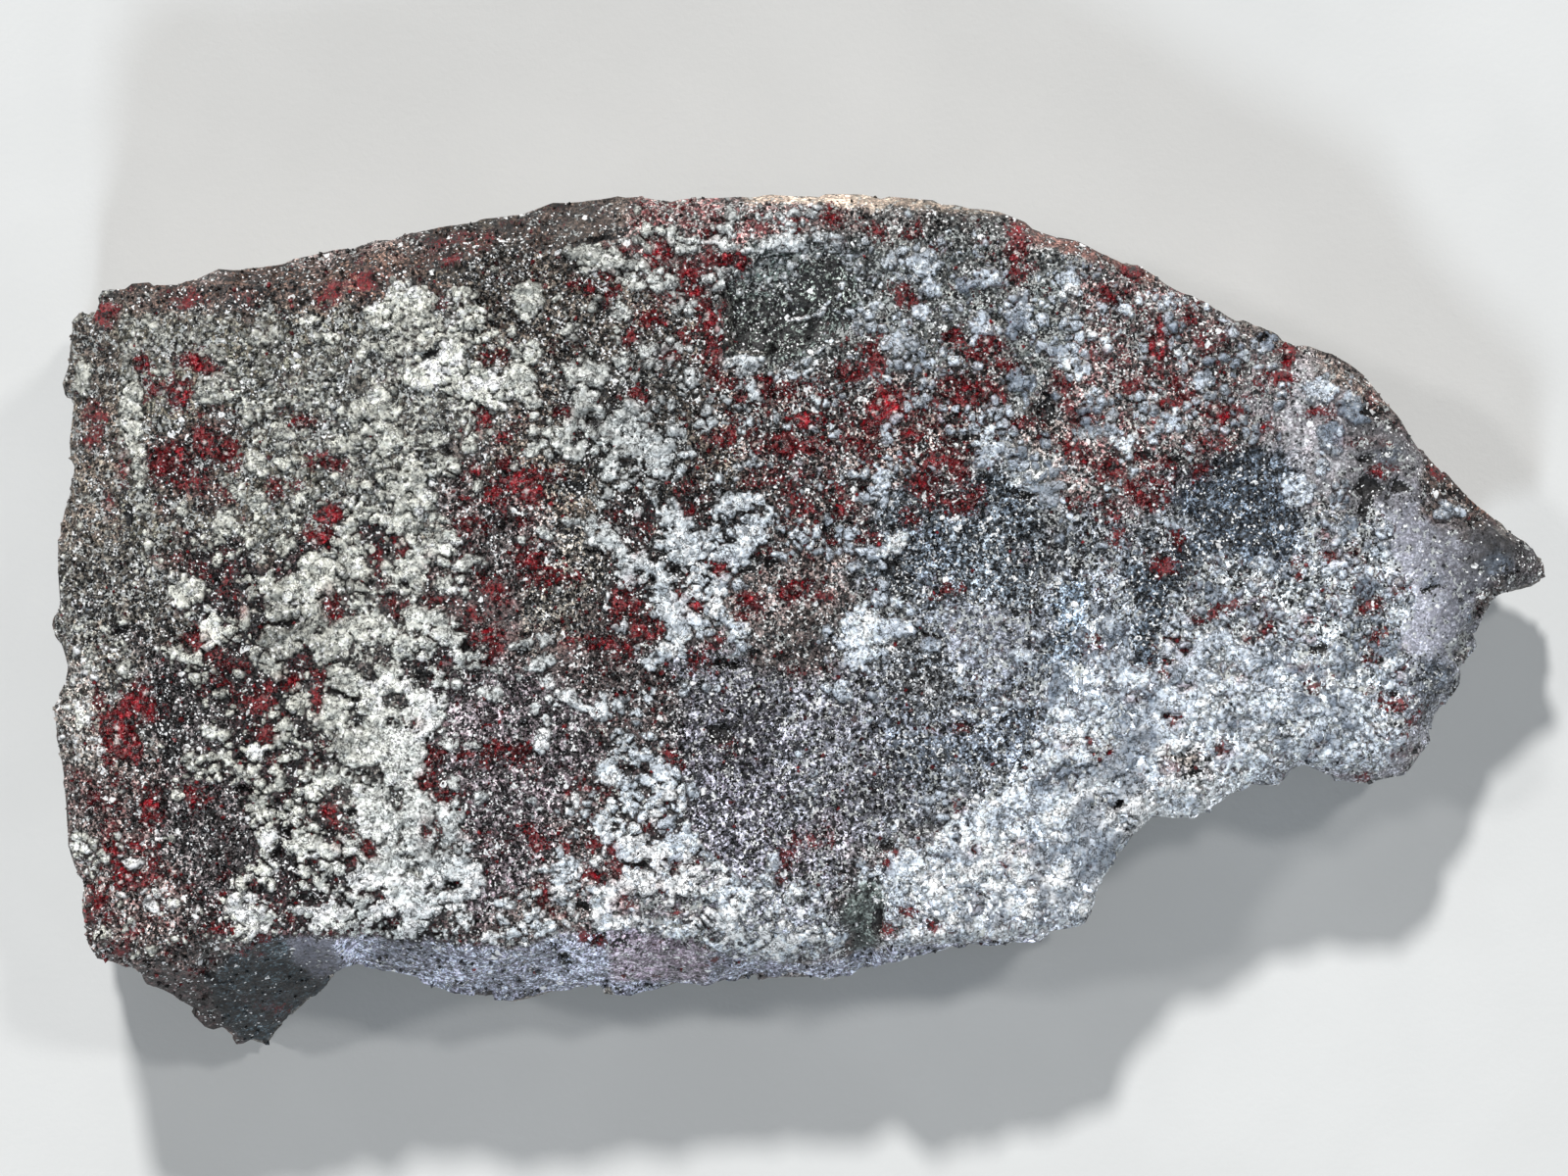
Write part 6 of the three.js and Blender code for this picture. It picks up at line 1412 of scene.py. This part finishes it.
def grow(form, at, sizes, tint, sunk, lean, uneven=0.0, cuts=0):
    """One copy of the form at each place on the face, sunk into it by that share of its height: deformed, cut
    by flat faces, scaled and turned. Returns vertices N x V x 3, the form's faces, and each copy's tint."""
    shape, faces = form
    height, facing, hit = drop(at)
    hit &= facing[:, 2] > GRAIN_FACING
    at, height, facing, sizes, tint = (values[hit] for values in (at, height, facing, sizes, tint))
    count = len(at)
    v = np.repeat(shape[None], count, 0)
    if uneven:
        offset = rng.uniform(0, 500, (count, 1, 3))
        v = v * (1 + uneven * noise(v + offset, 0.9, 61))[..., None]
    for _ in range(cuts):
        across = rng.normal(size=(count, 1, 3))
        across /= np.linalg.norm(across, axis=2, keepdims=True)
        over = np.sum(v * across, 2) - rng.uniform(0.5, 0.85, (count, 1))
        v = v - np.maximum(over, 0)[..., None] * across
    turns = turned(facing, rng.uniform(0, 6.3, count), lean)
    v = np.einsum("nij,nkj->nki", turns, v * sizes[:, None, :])
    centres = np.column_stack([at, height + (1 - 2 * sunk) * sizes[:, 2]])
    return v + centres[:, None, :], faces, tint


def joined(copies, low=-np.inf, high=np.inf):
    """The copies whose middle has its x from low to high, as one mesh: vertices, triangles and colours."""
    v, faces, tint = copies
    middle = v.mean(1)[:, 0]
    chosen = (middle >= low) & (middle < high)
    v, tint = v[chosen], tint[chosen]
    count, per = v.shape[:2]
    tris = faces[None] + (np.arange(count) * per)[:, None, None]
    return v.reshape(-1, 3), tris.reshape(-1, 3), np.repeat(tint, per, 0)


def filled(marks, spacing):
    """Places that fill each of the marks about spacing apart, at least one each, and the marks' numbers."""
    found, rows = [], []
    for row, (x, y, rx, ry, *turn) in enumerate(marks):
        count = max(1, round(math.pi * rx * ry / (0.8 * spacing**2)))
        reach = np.sqrt((np.arange(count) + 0.35) / (count + 0.35)) * 0.9 if count > 1 else np.zeros(1)
        a = math.radians(turn[0]) if turn else 0.0
        angle = rng.uniform(0, 6.3) + np.arange(count) * SPIRAL_TURN
        u, v = rx * reach * np.cos(angle), ry * reach * np.sin(angle)
        across, along = u * math.cos(a) - v * math.sin(a), u * math.sin(a) + v * math.cos(a)
        found.append(np.stack([x + across, y + along], -1))
        rows += [row] * count
    found = np.vstack(found)
    return found + 0.15 * spacing * rng.normal(size=found.shape), np.array(rows)


def scattered(spacing):
    """Places over the face, about spacing apart and uneven."""
    nx, ny = (int((BOX_HIGH[k] - BOX_LOW[k]) / spacing) for k in (0, 1))
    x, y = np.meshgrid(np.arange(nx) + 0.5, np.arange(ny) + 0.5)
    x = x + 0.5 * (np.arange(ny)[:, None] % 2)
    found = np.stack([x.ravel(), y.ravel()], -1) + rng.uniform(-0.42, 0.42, (nx * ny, 2))
    return found * spacing + BOX_LOW[:2]


def white_grains():
    """Single white grains on the crust and around it, where the bright and pale marks are."""
    marks = BRIGHT + PALE
    at, rows = filled(marks, GRAIN_SPACING)
    widths = np.array([min(rx, ry) for _, _, rx, ry, *_ in marks])[rows]
    radius = np.clip(widths, 0.3, 0.55) * rng.uniform(0.5, 0.95, len(widths))
    value = np.where(rows < len(BRIGHT), 220, 196) + rng.normal(0, 14, len(rows))
    across = radius * rng.uniform(0.9, 1.5, len(radius))
    tall = radius * rng.uniform(0.45, 0.8, len(radius))
    sizes = np.stack([across, radius, tall], -1)
    grains = grow(pebble(), at, sizes, pale_tint(at, value), sunk=0.1, lean=0.3, uneven=0.35, cuts=6)
    verts, tris, tint = joined(grains)
    make_piece("calcite_grains", verts, tris, calcite, "calcite", smooth=False, tint=tint)


def druse_crystals():
    """Fine pointed crystals in the ground's colours, some black, some red, and a few small ones painted white
    as glints.
    """
    at = scattered(DRUSE_SPACING)
    tone, tone2, amount = ground_at(at)
    cover = masks(at)
    whites = np.maximum(cover["bright"], cover["pale"])
    reds = np.maximum(cover["scarlet"], cover["red"])
    wanted = amount["sparkle"] * (1 - amount["smooth"]) * (1 - 0.8 * whites) * (1 - cover["black"])
    wanted *= 0.55 + 0.6 * ease(fractal(flat3(at), 1.5, 97), -0.3, 0.3)
    chosen = rng.uniform(size=len(at)) < 0.75 * wanted
    at, tone, tone2, reds, whites = (values[chosen] for values in (at, tone, tone2, reds, whites))
    white, red, black, sparkle = (amount[kind][chosen] for kind in ("white", "red", "black", "sparkle"))
    count = len(at)
    pick, second = rng.uniform(size=count), rng.uniform(size=(count, 1))
    tint = (tone * second + tone2 * (1 - second)) * shade(at) * (0.1 + 1.5 * rng.uniform(size=(count, 1)))
    # Painted shade: crystals between the white grains are darker.
    tint *= (1 - painted_gap_shade(at, whites, white, 0.75))[:, None]
    tint[pick < 0.2 + 0.8 * black] *= 0.1
    reddish = pick > 1 - np.maximum(0.5 * red, 0.9 * reds)
    tint[reddish] = (linear((112, 24, 28)) * rng.uniform(0.2, 1.2, (count, 1)))[reddish]
    size = rng.uniform(0.13, 0.31, count)
    # Painted glints: a few small crystals made white.
    flashing = np.abs(pick - 0.45) < 0.07 * sparkle
    tint[flashing] = linear((250, 250, 248))
    size[flashing] = rng.uniform(0.1, 0.19, flashing.sum())
    sizes = size[:, None] * rng.uniform((0.8, 0.8, 0.9), (1.2, 1.2, 1.7), (count, 3))
    crystals = grow(pointed(), at, sizes, tint, sunk=0.33, lean=0.5)
    for name, low, high in (("druse_left", -90, -38), ("druse_middle", -38, 0), ("druse_right", 0, 90)):
        verts, tris, colours = joined(crystals, low, high)
        make_piece(name, verts, tris, druse, "matrix", smooth=False, tint=colours)


white_grains()
druse_crystals()


# ---------------------------------------------------------------- studio

# The floor's side, in metres.
FLOOR_SIZE = 3.0

# Where the camera aims, how wide a strip it sees at the face's height, that height, its focal length and the
# width of its sensor, in mm.
CAMERA_AIM = (-2.1, 3.65)
FRAME_WIDTH, FACE_Z, LENS, SENSOR = 160.0, 24.6, 180.0, 36.0

SKY, SKY_STRENGTH = (0.94, 0.97, 1.0, 1), 0.13

# Distant lamps: azimuth from +X towards +Y, elevation, strength, apparent width in degrees, and colour.
LAMPS = {
    "key": (100, 45, 2.6, 5, (1, 1, 1)),
    "second": (40, 60, 0.5, 6, (1, 1, 1)),
    "third": (165, 50, 0.45, 6, (1, 1, 1)),
    "fill": (265, 38, 1.12, 10, (0.82, 0.91, 1.0)),
}


def link(name, data):
    """A new object of the scene."""
    made = bpy.data.objects.new(name, data)
    bpy.context.scene.collection.objects.link(made)
    return made


def make_floor():
    """Plain pale paper."""
    mesh = bpy.data.meshes.new("floor")
    half = FLOOR_SIZE / 2
    corners = [(-half, -half, 0), (half, -half, 0), (half, half, 0), (-half, half, 0)]
    mesh.from_pydata(corners, [], [(0, 1, 2, 3)])
    s = Shader("floor_paper")
    paper = s.mix(s.step(s.noise(40.0), 0.3, 0.7), colour(214, 214, 212), colour(220, 220, 218))
    mesh.materials.append(s.finish(paper, 0.8, s.bump(s.noise(0.8), 0.03)))
    floor = link("floor", mesh)


def make_lamps():
    """The lamps and an even dim sky."""
    for name, (azimuth, elevation, strength, width, tint) in LAMPS.items():
        lamp = bpy.data.lights.new(name, "SUN")
        lamp.energy, lamp.angle, lamp.color = strength, math.radians(width), tint
        a, e = math.radians(azimuth), math.radians(elevation)
        towards = Vector((math.cos(a) * math.cos(e), math.sin(a) * math.cos(e), math.sin(e)))
        link(name, lamp).rotation_euler = towards.to_track_quat("Z", "Y").to_euler()
    world = bpy.data.worlds.new("studio")
    world.use_nodes = True
    sky = world.node_tree.nodes["Background"].inputs
    sky["Color"].default_value = SKY
    sky["Strength"].default_value = SKY_STRENGTH
    bpy.context.scene.world = world


def make_camera():
    """A long lens that looks straight down on the face, as the photograph does."""
    lens = bpy.data.cameras.new("camera")
    lens.lens, lens.sensor_width = LENS, SENSOR
    lens.clip_start, lens.clip_end = 0.01, 10
    camera = link("camera", lens)
    distance = FRAME_WIDTH * LENS / SENSOR
    camera.location = (CAMERA_AIM[0] * MM, CAMERA_AIM[1] * MM, (FACE_Z + distance) * MM)
    bpy.context.scene.camera = camera
    bpy.context.scene.view_settings.view_transform = "Standard"


make_floor()
make_lamps()
make_camera()
